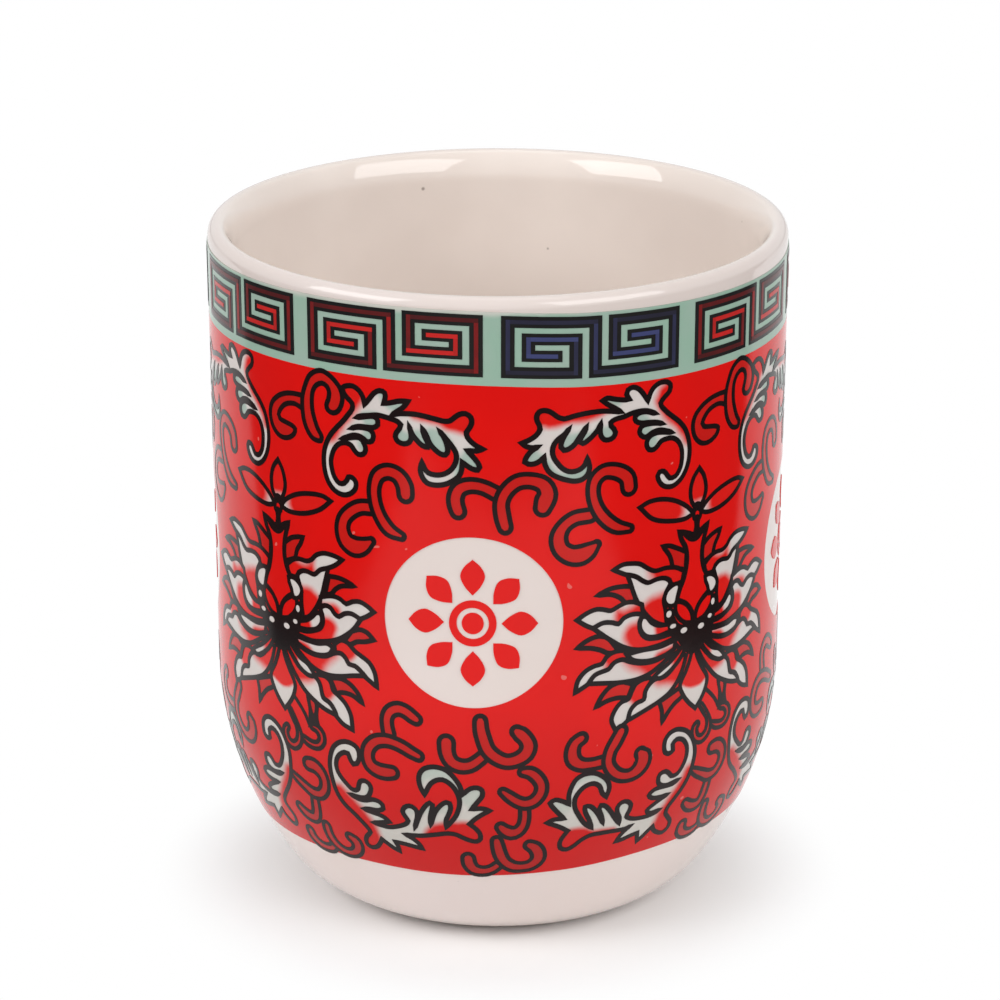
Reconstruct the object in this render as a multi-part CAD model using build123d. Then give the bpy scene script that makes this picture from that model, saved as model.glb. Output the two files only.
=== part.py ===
from build123d import *
from math import acos, atan2, cos, degrees, hypot, pi, radians, sin, sqrt
import os

# A handleless porcelain tea cup with a fired-on enamel transfer. Millimetres and degrees.
# The origin is the centre of the foot's resting face and +Z is up. Angles round the cup
# are counted from the front, -Y, towards +X.

# Driving dimensions of the pot
cup_height = 84.6
rim_radius = 35.0
rim_wall = 2.7
body_wall = 3.0
wall_taper = 0.53
shoulder_radius = 43.0
belly_radius = 13.7
bowl_radius = 14.0
floor_thickness = 3.2

# The turned foot, stepped in from the rim
foot_inset = 15.7
foot_lean = 74.5
foot_shade = 0.3
foot_bevel = 0.45
foot_ring_width = 2.8
recess_depth = 2.2
recess_slope = 0.7
recess_dome = 0.3
bare_height = 0.7

# Thickness of the coats
glaze_thickness = 0.3
enamel_thickness = 0.15
fret_thickness = 0.1
line_thickness = 0.05

# The transfer: its edges, measured on the axis down from the widest circle of the rim,
# and how far the sheet was laid out of level
band_drop = 0.5
ground_drop = 9.0
hem_drop = 71.6
band_lean = 0.82
hem_lean = 1.8

# The key fret in the band
fret_pairs = 9
fret_colours = ("red", "red", "blue")
fret_angle = -79.7
fret_drop = 0.75
pair_gap = 1.8
bar_width = 1.65
lane_width = 0.72
bar_height = 1.32
lane_height = 0.66
line_width = 0.5

# The round reserves in the red ground and the rosette in each
roundels = 4
roundel_angle = -5.0
roundel_drop = 37.3
roundel_radius = 10.7
rosette_petals = 8
rosette_radius = 7.6
petal_width = 3.0
petal_belly_share = 0.55
mark_gap = 0.6
dot_radius = 1.3
hoop_width = 0.9

overrun = 5.0


def along(centre, radius, angle):
    """The point at an angle below the horizontal on a circle in the section."""
    return (centre[0] + radius * cos(angle), centre[1] - radius * sin(angle))


def bearing(centre, point):
    """The angle below the horizontal at which a point is seen from a centre."""
    return atan2(centre[1] - point[1], point[0] - centre[0])


def section_arc(centre, radius, start, end):
    """An arc of the section between two angles below the horizontal."""
    ends = [along(centre, radius, angle) for angle in (start, (start + end) / 2, end)]
    return ThreePointArc(*[(x, 0, z) for x, z in ends])


def section_line(*points):
    return Polyline(*[(x, 0, z) for x, z in points])


# Centres and tangent angles of the outside of the pot
rim_level = cup_height - rim_wall / 2
foot_radius = rim_radius - foot_inset
taper = radians(wall_taper)
foot_angle = radians(foot_lean)
belly_centre = (
    foot_radius - belly_radius * cos(foot_angle),
    foot_shade + belly_radius * sin(foot_angle),
)
wall_radius_at_belly = rim_radius - (rim_level - belly_centre[1]) * sin(taper) / cos(taper)
belly_to_wall = (wall_radius_at_belly - belly_centre[0]) * cos(taper)
across = shoulder_radius - belly_to_wall
climb = sqrt((shoulder_radius - belly_radius) ** 2 - across**2)
shoulder_centre = (
    belly_centre[0] - across * cos(taper) + climb * sin(taper),
    belly_centre[1] + across * sin(taper) + climb * cos(taper),
)
shoulder_end = bearing(shoulder_centre, belly_centre)


def wall_point(level, stand_off):
    """A point of the section that stands off the straight wall at a level."""
    radius = rim_radius - (rim_level - level) * sin(taper) / cos(taper)
    return (radius + stand_off / cos(taper), level)


def outside(stand_off=0.0):
    """Wall, shoulder and belly of the pot, moved out along their normals."""
    wall_end = along(shoulder_centre, shoulder_radius + stand_off, taper)
    return [
        section_line(wall_point(rim_level, stand_off), wall_end),
        section_arc(shoulder_centre, shoulder_radius + stand_off, taper, shoulder_end),
        section_arc(belly_centre, belly_radius + stand_off, shoulder_end, foot_angle),
    ]


def inside(skin=0.0):
    """Wall, bowl and floor of the inside, from the lip to the axis, sunk by a skin."""
    inner_radius = shoulder_radius - body_wall
    reach = inner_radius - bowl_radius
    drop = shoulder_centre[1] - floor_level - bowl_radius
    bowl_centre = (shoulder_centre[0] + sqrt(reach**2 - drop**2), floor_level + bowl_radius)
    bowl_start = bearing(shoulder_centre, bowl_centre)
    lip = (rim_radius - rim_wall + skin, rim_level)
    lip_distance = hypot(lip[0] - shoulder_centre[0], lip[1] - shoulder_centre[1])
    turn = acos((inner_radius + skin) / lip_distance)
    wall_end = bearing(shoulder_centre, lip) + turn
    return [
        section_line(lip, along(shoulder_centre, inner_radius + skin, wall_end)),
        section_arc(shoulder_centre, inner_radius + skin, wall_end, bowl_start),
        section_arc(bowl_centre, bowl_radius + skin, bowl_start, pi / 2),
        section_line((bowl_centre[0], floor_level - skin), (0, floor_level - skin)),
    ]


def lip(skin=0.0):
    """The full round of the lip, from the inside to the outside."""
    outer = wall_point(rim_level, -skin)[0]
    inner = rim_radius - rim_wall + skin
    return section_arc(((outer + inner) / 2, rim_level), (outer - inner) / 2, -pi, 0)


# The turned foot: its ring and the hollow inside it
floor_level = recess_depth + recess_dome + floor_thickness
ring_inside = foot_radius - foot_ring_width
recess_radius = ring_inside - recess_slope
bare_share = (bare_height - foot_bevel) / (recess_depth - foot_bevel)
bare_edge = (ring_inside - recess_slope * bare_share, bare_height)
recess_wall = [bare_edge, (recess_radius, recess_depth), (0, recess_depth + recess_dome)]
recess_clay = [
    (bare_edge[0] + glaze_thickness, bare_edge[1]),
    (recess_radius + glaze_thickness, recess_depth + glaze_thickness),
    (0, recess_depth + recess_dome + glaze_thickness),
]


def clay_section():
    """Half the unglazed pot, bare at the foot ring and sunk under the glaze elsewhere."""
    foot = section_line(
        along(belly_centre, belly_radius - glaze_thickness, foot_angle),
        (foot_radius, foot_shade),
        (foot_radius - foot_bevel, 0),
        (ring_inside + foot_bevel, 0),
        (ring_inside, foot_bevel),
        bare_edge,
        *recess_clay,
        (0, floor_level - glaze_thickness),
    )
    return make_face(
        [*outside(-glaze_thickness), foot, *inside(glaze_thickness), lip(glaze_thickness)]
    )


def outer_coat_section():
    """The glaze from the middle of the floor over the lip to the foot."""
    foot_end = section_line(
        (foot_radius, foot_shade),
        along(belly_centre, belly_radius - glaze_thickness, foot_angle),
    )
    axis_end = section_line((0, floor_level), (0, floor_level - glaze_thickness))
    skins = [*inside(), lip(), *outside()]
    backs = [*inside(glaze_thickness), lip(glaze_thickness), *outside(-glaze_thickness)]
    return make_face([*skins, foot_end, *backs, axis_end])


def base_coat_section():
    """The glaze in the hollow of the foot."""
    return make_face(section_line(*recess_wall, *reversed(recess_clay), bare_edge))


def turned(section):
    return revolve(section, axis=Axis.Z)


def level_plane(drop, lean):
    """A plane through the axis point at a drop below the rim, laid out of level."""
    return Plane(
        origin=(0, 0, rim_level - drop),
        z_dir=(sin(radians(lean)), 0, cos(radians(lean))),
    )


def enamel_shell():
    """A coat of enamel over the whole outside, before it is trimmed to its edges."""
    inner, outer = outside(), outside(enamel_thickness)
    joins = [
        Line(inner[0] @ 0, outer[0] @ 0),
        Line(inner[-1] @ 1, outer[-1] @ 1),
    ]
    return turned(make_face([*inner, *outer, *joins]))


pair_pitch = 2 * pi * rim_radius / fret_pairs
pair_width = pair_pitch - pair_gap
fret_height = 4 * bar_height + 3 * lane_height


def fret_cells():
    """The bars of one pair of squared spirals, as (left, right, top, bottom) from its corner."""
    block = (pair_width - bar_width) / 2 - lane_width
    inner_left = bar_width + lane_width
    rows = [n * (bar_height + lane_height) for n in range(4)]
    left_spiral = [
        (0, (pair_width + bar_width) / 2, rows[0], rows[0] + bar_height),
        (0, bar_width, rows[0], fret_height),
        (0, block, rows[3], fret_height),
        (block - bar_width, block, rows[1], fret_height),
        (inner_left, block, rows[1], rows[1] + bar_height),
        (inner_left, inner_left + bar_width, rows[1], rows[2] + bar_height),
        (inner_left, block - inner_left, rows[2], rows[2] + bar_height),
    ]
    middle = ((pair_width - bar_width) / 2, (pair_width + bar_width) / 2, 0, fret_height)
    right_spiral = [
        (pair_width - right, pair_width - left, fret_height - bottom, fret_height - top)
        for left, right, top, bottom in left_spiral
    ]
    return [middle, *left_spiral, *right_spiral]


def unrolled(arc):
    """How far sideways a point lies that is an arc away round the rim."""
    return rim_radius * sin(arc / rim_radius)


def fret_outline(inset_across=0.0, inset_up=0.0):
    """One pair of spirals, flat, its middle over the origin and its top edge on it."""
    outline = Sketch()
    for left, right, top, bottom in fret_cells():
        start = unrolled(left + inset_across - pair_width / 2)
        end = unrolled(right - inset_across - pair_width / 2)
        low, high = inset_up - bottom, -top - inset_up
        outline += Pos((start + end) / 2, (low + high) / 2) * Rectangle(end - start, high - low)
    return outline


def wall_ring(inner, outer):
    """A ring on the straight wall, over the levels of the fret, between two stand-offs."""
    high = rim_level
    low = rim_level - ground_drop - overrun
    corners = [
        wall_point(low, inner),
        wall_point(low, outer),
        wall_point(high, outer),
        wall_point(high, inner),
    ]
    return turned(make_face(section_line(*corners, corners[0])))


def facing(angle, level):
    """The upright plane through the axis that looks outwards at an angle."""
    turn = radians(angle)
    return Plane(
        origin=(0, 0, level),
        x_dir=(cos(turn), sin(turn), 0),
        z_dir=(sin(turn), -cos(turn), 0),
    )


def pressed(outline, place, ring):
    """The solids that a flat outline cuts from a ring where it is held against it."""
    return (ring & place * extrude(outline, rim_radius + overrun)).solids()


def pair_places(colour=None):
    """Where each pair of a colour stands, at the height of the leaning band there."""
    for n in range(fret_pairs):
        if colour in (None, fret_colours[n % len(fret_colours)]):
            middle = radians(fret_angle) + (n * pair_pitch + pair_width / 2) / rim_radius
            sag = rim_radius * sin(middle) * sin(radians(band_lean))
            yield facing(degrees(middle), rim_level - fret_drop - sag)


def fret(outline, ring, colour=None):
    """The solids of every pair of a colour, as one flat outline cuts them from a ring."""
    solids = []
    for place in pair_places(colour):
        solids += pressed(outline, place, ring)
    return solids


def petal_outline(foot, tip, width):
    """A petal along X, pointed at both ends and widest part of the way out."""
    belly = foot + (tip - foot) * petal_belly_share
    points = [(foot, 0), (belly, width / 2), (tip, 0), (belly, -width / 2)]
    return make_face(Polyline(*points, close=True))


def rosette_marks():
    """The marks of the rosette, flat: a dot, a hoop and a ring of petals."""
    hoop_inside = dot_radius + mark_gap
    hoop_outside = hoop_inside + hoop_width
    petal = petal_outline(hoop_outside + mark_gap, rosette_radius, petal_width)
    return [
        Circle(dot_radius),
        Circle(hoop_outside) - Circle(hoop_inside),
        *PolarLocations(0, rosette_petals) * petal,
    ]


def roundel_places():
    for n in range(roundels):
        yield facing(roundel_angle + n * 360 / roundels, rim_level - roundel_drop)


def write(name, solids):
    """One file for a node; several solids of one node are written as a group."""
    solids = list(solids)
    shape = solids[0] if len(solids) == 1 else Compound(children=solids)
    export_step(shape, os.path.join("parts", name + ".step"))


shell = enamel_shell()
band_top = level_plane(band_drop, band_lean)
ground_top = level_plane(ground_drop, band_lean)
hem = level_plane(hem_drop, -hem_lean)
below_top = split(shell, bisect_by=band_top, keep=Keep.BOTTOM)
band = split(below_top, bisect_by=ground_top, keep=Keep.TOP)
ground = split(below_top, bisect_by=ground_top, keep=Keep.BOTTOM)
ground = split(ground, bisect_by=hem, keep=Keep.TOP)

rosettes = []
for place in roundel_places():
    ground = ground - place * extrude(Circle(roundel_radius), rim_radius + overrun)
    for mark in rosette_marks():
        rosettes += pressed(mark, place, shell)

fret_top = enamel_thickness + fret_thickness
fret_ring = wall_ring(enamel_thickness, fret_top)
line_ring = wall_ring(fret_top, fret_top + line_thickness)
stroke = fret_outline()
line = fret_outline((bar_width - line_width) / 2, (bar_height - line_width) / 2)

os.makedirs("parts", exist_ok=True)
write("porcelain_body", turned(clay_section()).solids())
write("clear_glaze", turned(outer_coat_section()).solids())
write("base_glaze", turned(base_coat_section()).solids())
write("turquoise_band", band.solids())
write("red_ground", ground.solids())
write("black_key_fret", fret(stroke, fret_ring))
write("red_key_lines", fret(line, line_ring, "red"))
write("blue_key_lines", fret(line, line_ring, "blue"))
write("roundel_rosettes", rosettes)
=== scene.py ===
from math import acos, atan2, cos, hypot, pi, radians, sin, sqrt

import bpy
import numpy as np
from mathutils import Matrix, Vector
from mathutils.geometry import delaunay_2d_cdt


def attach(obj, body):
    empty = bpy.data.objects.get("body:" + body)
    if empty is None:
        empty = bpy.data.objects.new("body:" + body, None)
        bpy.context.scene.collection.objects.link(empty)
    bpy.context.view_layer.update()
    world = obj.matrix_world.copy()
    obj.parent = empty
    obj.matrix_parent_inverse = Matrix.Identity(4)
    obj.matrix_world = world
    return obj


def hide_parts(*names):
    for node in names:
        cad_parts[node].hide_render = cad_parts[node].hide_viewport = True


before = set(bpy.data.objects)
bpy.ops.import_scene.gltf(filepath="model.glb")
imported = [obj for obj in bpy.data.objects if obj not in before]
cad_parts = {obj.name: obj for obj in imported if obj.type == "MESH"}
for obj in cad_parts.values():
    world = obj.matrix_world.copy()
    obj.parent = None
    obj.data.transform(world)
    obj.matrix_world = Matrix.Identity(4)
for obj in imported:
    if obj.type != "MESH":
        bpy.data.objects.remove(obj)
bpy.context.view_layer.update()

# A handleless porcelain tea cup with a fired-on enamel transfer. The pot's sizes and the
# drawing of the transfer are in millimetres and become metres where a mesh is made.
MM = 0.001
# What counts as nothing where lengths are compared and divided by, and as far away
tiny, trace, far = 1e-6, 1e-12, 1e9

# The outside of the pot, as in the CAD
cup_height = 84.6
rim_radius = 35.0
rim_wall = 2.7
body_wall = 3.0
wall_taper = 0.53
shoulder_radius = 43.0
belly_radius = 13.7
bowl_radius = 14.0
floor_level = 5.7
foot_radius = 19.3
foot_lean = 74.5
foot_shade = 0.3
glaze_thickness = 0.3
# The lip: a tight round on top, eased into the wall on each side at this slope
lip_tip = 1.1
lip_inside = 6.0
lip_outside = 1.6
lip_slope = 35.0

# How far each coat of enamel stands off the glaze, and how deep its edge is sunk in it
red_lift = 0.09
band_lift = 0.08
white_lift = 0.07
black_lift = 0.12
line_lift = 0.15
coat_root = -0.03

rim_level = cup_height - rim_wall / 2
taper = radians(wall_taper)
foot_angle = radians(foot_lean)
belly_centre = (
    foot_radius - belly_radius * cos(foot_angle),
    foot_shade + belly_radius * sin(foot_angle),
)
belly_to_wall = (
    rim_radius * cos(taper) - (rim_level - belly_centre[1]) * sin(taper)
    - belly_centre[0] * cos(taper)
)
across = shoulder_radius - belly_to_wall
climb = sqrt((shoulder_radius - belly_radius) ** 2 - across**2)
shoulder_centre = (
    belly_centre[0] - across * cos(taper) + climb * sin(taper),
    belly_centre[1] + across * sin(taper) + climb * cos(taper),
)
shoulder_end = atan2(
    shoulder_centre[1] - belly_centre[1], belly_centre[0] - shoulder_centre[0]
)
wall_length = (rim_level - shoulder_centre[1] + shoulder_radius * sin(taper)) / cos(taper)
shoulder_length = shoulder_radius * (shoulder_end - taper)
belly_length = belly_radius * (foot_angle - shoulder_end)
girth = 2 * pi * rim_radius


def wall(depth, lift=0.0):
    """Radius, level and outward normal where the outside is met at a depth below the rim."""
    depth = np.asarray(depth, float)
    past_wall = depth - wall_length
    past_shoulder = past_wall - shoulder_length
    places = [past_wall < 0, past_shoulder < 0]
    belly_lean = shoulder_end + past_shoulder / belly_radius
    lean = np.select(places, [taper, taper + past_wall / shoulder_radius], belly_lean)
    out, up = np.cos(lean), -np.sin(lean)
    radius = np.select(
        places,
        [rim_radius - depth * sin(taper), shoulder_centre[0] + shoulder_radius * out],
        belly_centre[0] + belly_radius * out,
    )
    level = np.select(
        places,
        [rim_level - depth * cos(taper), shoulder_centre[1] + shoulder_radius * up],
        belly_centre[1] + belly_radius * up,
    )
    return radius + lift * out, level + lift * up, out, up


class Socket:
    """An output socket that adds Math nodes when it is used in an expression."""

    def __init__(self, nodes, output):
        self.nodes, self.output = nodes, output

    def math(self, operation, *values):
        return self.nodes.add("ShaderNodeMath", {"operation": operation}, values)

    def __add__(self, other):
        return self.math("ADD", self, other)

    def __radd__(self, other):
        return self.math("ADD", other, self)

    def __sub__(self, other):
        return self.math("SUBTRACT", self, other)

    def __rsub__(self, other):
        return self.math("SUBTRACT", other, self)

    def __mul__(self, other):
        return self.math("MULTIPLY", self, other)

    def __rmul__(self, other):
        return self.math("MULTIPLY", other, self)

    def at_most(self, other):
        return self.math("MINIMUM", self, other)

    def at_least(self, other):
        return self.math("MAXIMUM", self, other)

    def ramp(self, start, end):
        """0 at start, 1 at end, eased between them."""
        return self.nodes.add(
            "ShaderNodeMapRange",
            {"interpolation_type": "SMOOTHSTEP"},
            {"Value": self, "From Min": start, "From Max": end},
        )


def tone(red, green, blue):
    """A colour as it is seen on a screen, from 0 to 255, for a shader."""
    def linear(value):
        share = value / 255
        return share / 12.92 if share <= 0.04045 else ((share + 0.055) / 1.055) ** 2.4

    return (linear(red), linear(green), linear(blue))


class Nodes:
    """The node tree of a material, or of the world."""

    def __init__(self, owner):
        self.owner = owner
        owner.use_nodes = True
        self.tree = owner.node_tree
        self.tree.nodes.clear()

    def link(self, value, socket):
        if isinstance(value, Socket):
            self.tree.links.new(value.output, socket)
        else:
            socket.default_value = (*value, 1) if socket.type == "RGBA" else value

    def add(self, kind, settings=None, inputs=(), output=0):
        """An output of a new node with these settings and these values or links."""
        node = self.tree.nodes.new(kind)
        for name, value in (settings or {}).items():
            setattr(node, name, value)
        pairs = inputs.items() if isinstance(inputs, dict) else enumerate(inputs)
        for key, value in pairs:
            self.link(value, node.inputs[key])
        return None if output is None else Socket(self, node.outputs[output])

    def mix(self, share, low, high):
        """Two colours mixed by a share, each a socket or a colour as tone() takes it."""
        low, high = (c if isinstance(c, Socket) else tone(*c) for c in (low, high))
        return self.add("ShaderNodeMix", {"data_type": "RGBA"}, {0: share, 6: low, 7: high}, 2)

    def vector(self, operation, *values, output="Value"):
        """A Vector Math node, by default for the number that it gives."""
        return self.add("ShaderNodeVectorMath", {"operation": operation}, values, output)

    def place(self):
        """Where a point lies on the object, in metres."""
        return self.add("ShaderNodeTexCoord", output="Object")

    def height(self):
        """How high a point lies, in metres."""
        return self.add("ShaderNodeSeparateXYZ", None, (self.place(),), "Z")

    def low(self):
        """Painted shade: 1 in the lowest part of the print, 0 from the middle of the wall upwards.
        """
        return 1 - self.height().ramp(*painted_shade_heights)

    def noise(self, scale, detail=2.0, roughness=0.5):
        inputs = {"Vector": self.place(), "Scale": scale, "Detail": detail, "Roughness": roughness}
        return self.add("ShaderNodeTexNoise", None, inputs)

    def field(self, name):
        """A value that the mesh carries at its corners."""
        return self.add("ShaderNodeAttribute", {"attribute_name": name}, output="Fac")

    def gloss(self, scale, spread, least):
        """A roughness that drifts over the surface."""
        return self.noise(scale) * spread + least

    def bump(self, height, strength, distance):
        inputs = {"Height": height, "Strength": strength, "Distance": distance}
        return self.add("ShaderNodeBump", None, inputs)

    def finish(self, **inputs):
        """The surface: a Principled shader with these inputs."""
        named = {key.replace("_", " "): value for key, value in inputs.items()}
        shader = self.add("ShaderNodeBsdfPrincipled", None, named)
        self.add("ShaderNodeOutputMaterial", None, (shader,), None)
        return self.owner

    def rays(self):
        """1 for a ray from the camera, for one from a glossy surface, for one through glass."""
        kinds = ["Is Camera Ray", "Is Glossy Ray", "Is Transmission Ray"]
        return [self.add("ShaderNodeLightPath", output=kind) for kind in kinds]


# Finishes. A grain is a noise: its lumps to a metre, and then its detail and roughness
# where they aren't the plain ones. A span is where a shade starts and where it is full, a
# share how far it goes. A gloss is a roughness: lumps to a metre, spread and least. A
# relief is a bump's strength and its depth in metres.
# Painted shade: the heights in metres over which the print darkens towards the foot
painted_shade_heights = (0.016, 0.037)
glaze_relief = enamel_relief = (0.25, 0.0004)

# The glaze turns from the inside to the outside by radius and by height, in metres
glaze_white, glaze_grey, foot_grey = (249, 238, 230), (234, 221, 216), (226, 211, 202)
glaze_shine, glaze_gloss = 0.58, (60.0, 0.03, 0.03)
over_lip, under_bowl = (0.0331, 0.0342), (0.022, 0.034)
cloud_grey, cloud_grain, cloud_span, cloud_share = (226, 212, 203), (38.0, 3.0), (0.35, 0.65), 0.35
iron_brown, iron_grain, iron_span, iron_share = (96, 74, 60), (520.0, 1.0, 0.3), (0.83, 0.87), 0.55
pore_grain, pore_share, glaze_waves = (900.0, 1.0), 0.02, (26.0, 1.0)
# Specks of iron inside: degrees from the front to the right, height and size
inner_spot = 0.0319
iron_spots = [(-162.6, 0.0802, 0.00028), (168.4, 0.0721, 0.00022), (142.3, 0.0829, 0.0003),
              (132.5, 0.083, 0.00026)]
spot_core, spot_edge, spot_share = 0.4, 1.2, 0.6

biscuit_grey, biscuit_brown = (206, 190, 176), (160, 126, 98)
biscuit_grain, biscuit_relief = (1400.0, 3.0), (0.5, 0.00008)
stain_grain, stain_span, stain_share = (120.0, 3.0), (0.45, 0.75), 0.5
dry_spread, dry_least = 0.2, 0.65

# The enamels, each thick and thin, and darkened with painted shade where they lie low on the cup
red_thick, red_thin, red_painted_shade = (229, 19, 15), (221, 20, 17), (203, 12, 10)
tendril_thick, tendril_thin, tendril_painted_shade = (204, 30, 25), (195, 26, 22), (176, 22, 19)
turquoise_thick, turquoise_thin = (154, 186, 167), (164, 186, 173)
white_thick, white_thin, white_painted_shade = (224, 215, 211), (214, 206, 201), (199, 197, 189)
outline_thick, outline_thin = (25, 19, 20), (35, 20, 20)
key_thick, key_thin = (32, 32, 32), (40, 39, 38)
enamel_shine, enamel_gloss, line_gloss = 0.22, (90.0, 0.06, 0.1), (90.0, 0.08, 0.16)
enamel_waves, skin_grain, skin_share = (30.0, 1.0), (1100.0,), 0.03
drift_grain, drift_span = (55.0, 3.0), (0.3, 0.72)
pinhole_pink, pinhole_grain = (232, 170, 160), (900.0, 0.0)
pinhole_span, pinhole_share = (0.855, 0.87), 0.35
# The turquoise thins out to the glaze along its upper edge, in the last millimetre
band_grain, band_bare, bare_share = (160.0, 3.0), (222, 214, 207), 0.75
band_fade, ragged_grain, ragged = (0.0826, 0.0835), (300.0,), 0.0006
# The white blushes and is tinged over a span of its field, roughened by a grain, and is darkened
# low on the cup by a share of painted shade
white_grain, soft_grain, painted_shade_share = (70.0,), (700.0,), 0.85
blush_red, blush_rough, blush_span = (224, 28, 23), 0.25, (0.08, 0.9)
tinge_green, tinge_rough, tinge_span = (170, 188, 177), 0.2, (0.0, 1.0)
# The lines in the key, dull and bright
red_line, blue_line = ((66, 32, 34), (202, 42, 40)), ((44, 42, 52), (68, 73, 116))
line_grain, line_rough, line_span = (400.0,), 0.2, (0.0, 1.0)


def glaze_material(name, inner, outer):
    """White porcelain under clear glaze: a little greyer outside, clouded, and with a few
    dark specks of iron."""
    nodes = Nodes(bpy.data.materials.new(name))
    across = nodes.vector("MULTIPLY", nodes.place(), (1, 1, 0), output="Vector")
    below = 1 - nodes.height().ramp(*under_bowl)
    outside = nodes.vector("LENGTH", across).ramp(*over_lip).at_least(below)
    colour = nodes.mix(outside, inner, outer)
    clouds = nodes.noise(*cloud_grain).ramp(*cloud_span)
    colour = nodes.mix(clouds * cloud_share, colour, cloud_grey)
    specks = nodes.noise(*iron_grain).ramp(*iron_span)
    colour = nodes.mix(specks * iron_share, colour, iron_brown)
    for turn, level, size in iron_spots:
        spot = (inner_spot * sin(radians(turn)), -inner_spot * cos(radians(turn)), level)
        away = nodes.vector("DISTANCE", nodes.place(), spot)
        spotted = 1 - away.ramp(size * spot_core, size * spot_edge)
        colour = nodes.mix(spotted * spot_share, colour, iron_brown)
    relief = nodes.noise(*pore_grain) * pore_share + nodes.noise(*glaze_waves)
    return nodes.finish(
        Base_Color=colour,
        Specular_IOR_Level=glaze_shine,
        Roughness=nodes.gloss(*glaze_gloss),
        Normal=nodes.bump(relief, *glaze_relief),
    )


def biscuit_material():
    """The bare ring of the foot: dry, sandy and a little browned."""
    nodes = Nodes(bpy.data.materials.new("bare_porcelain"))
    grain = nodes.noise(*biscuit_grain)
    stain = nodes.noise(*stain_grain).ramp(*stain_span)
    return nodes.finish(
        Base_Color=nodes.mix(stain * stain_share, biscuit_grey, biscuit_brown),
        Roughness=grain * dry_spread + dry_least,
        Normal=nodes.bump(grain, *biscuit_relief),
    )


def fired(nodes, colour, skin=None):
    """The gloss of an enamel coat over its slow waves, and over a skin if it has one."""
    relief = nodes.noise(*enamel_waves)
    if skin:
        relief = skin * skin_share + relief
    return nodes.finish(
        Base_Color=colour,
        Roughness=nodes.gloss(*enamel_gloss),
        Specular_IOR_Level=enamel_shine,
        Normal=nodes.bump(relief, *enamel_relief),
    )


def enamel_material(name, thick, thin, painted_shade=None, pinholes=False):
    """Fired enamel: glossy, with slow unevenness where the coat is thinner, and pinholes.
    Towards the foot it is darkened with painted shade."""
    nodes = Nodes(bpy.data.materials.new(name))
    colour = nodes.mix(nodes.noise(*drift_grain).ramp(*drift_span), thick, thin)
    # Painted shade: the coat is darker low on the cup
    if painted_shade:
        colour = nodes.mix(nodes.low(), colour, painted_shade)
    if pinholes:
        holes = nodes.noise(*pinhole_grain).ramp(*pinhole_span)
        colour = nodes.mix(holes * pinhole_share, colour, pinhole_pink)
    return fired(nodes, colour, nodes.noise(*skin_grain))


def turquoise_material():
    """Turquoise enamel that thins out to the glaze along its upper edge."""
    nodes = Nodes(bpy.data.materials.new("turquoise_enamel"))
    drift = nodes.noise(*band_grain).ramp(*drift_span)
    colour = nodes.mix(drift, turquoise_thick, turquoise_thin)
    edge = (nodes.height() + nodes.noise(*ragged_grain) * ragged).ramp(*band_fade)
    return fired(nodes, nodes.mix(edge * bare_share, colour, band_bare))


def white_enamel_material():
    """White of petals and leaves, blushing to the red and tinged green by its fields."""
    nodes = Nodes(bpy.data.materials.new("white_enamel"))
    grain = nodes.noise(*soft_grain) - 0.5
    blush = (nodes.field("blush") + grain * blush_rough).ramp(*blush_span)
    tinge = (nodes.field("tinge") + grain * tinge_rough).ramp(*tinge_span)
    # Painted shade: the white and its blush are darker low on the cup
    low = nodes.low()
    colour = nodes.mix(nodes.noise(*white_grain), white_thick, white_thin)
    colour = nodes.mix(tinge, colour, tinge_green)
    colour = nodes.mix(low * painted_shade_share, colour, white_painted_shade)
    return fired(nodes, nodes.mix(blush, colour, nodes.mix(low, blush_red, red_painted_shade)))


def key_line_material(name, dull, bright):
    """A coloured line laid in the black key: dull in the outer bars, bright inside."""
    nodes = Nodes(bpy.data.materials.new(name))
    grain = nodes.noise(*line_grain) - 0.5
    shade = (nodes.field("bright") + grain * line_rough).ramp(*line_span)
    return nodes.finish(
        Base_Color=nodes.mix(shade, dull, bright),
        Roughness=nodes.gloss(*line_gloss),
        Specular_IOR_Level=enamel_shine,
    )


def shown(name, data):
    """A new object in the scene."""
    thing = bpy.data.objects.new(name, data)
    bpy.context.scene.collection.objects.link(thing)
    return thing


def make_piece(name, vertices, faces, material, slot, replaces=(), normals=None):
    """A mesh object that rides on the cup, from millimetres."""
    mesh = bpy.data.meshes.new(name)
    mesh.from_pydata([(x * MM, y * MM, z * MM) for x, y, z in vertices], [], faces)
    mesh.materials.append(material)
    mesh.shade_smooth()
    if normals is not None:
        mesh.normals_split_custom_set_from_vertices(normals)
    piece = shown(name, mesh)
    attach(piece, "root")
    if replaces:
        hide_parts(*replaces)
    return piece


def arc(centre, radius, start, end, steps):
    """Points on a circle of the section between two angles below the horizontal."""
    turns = [start + (end - start) * n / steps for n in range(steps + 1)]
    return [(centre[0] + radius * cos(a), centre[1] - radius * sin(a)) for a in turns]


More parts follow.
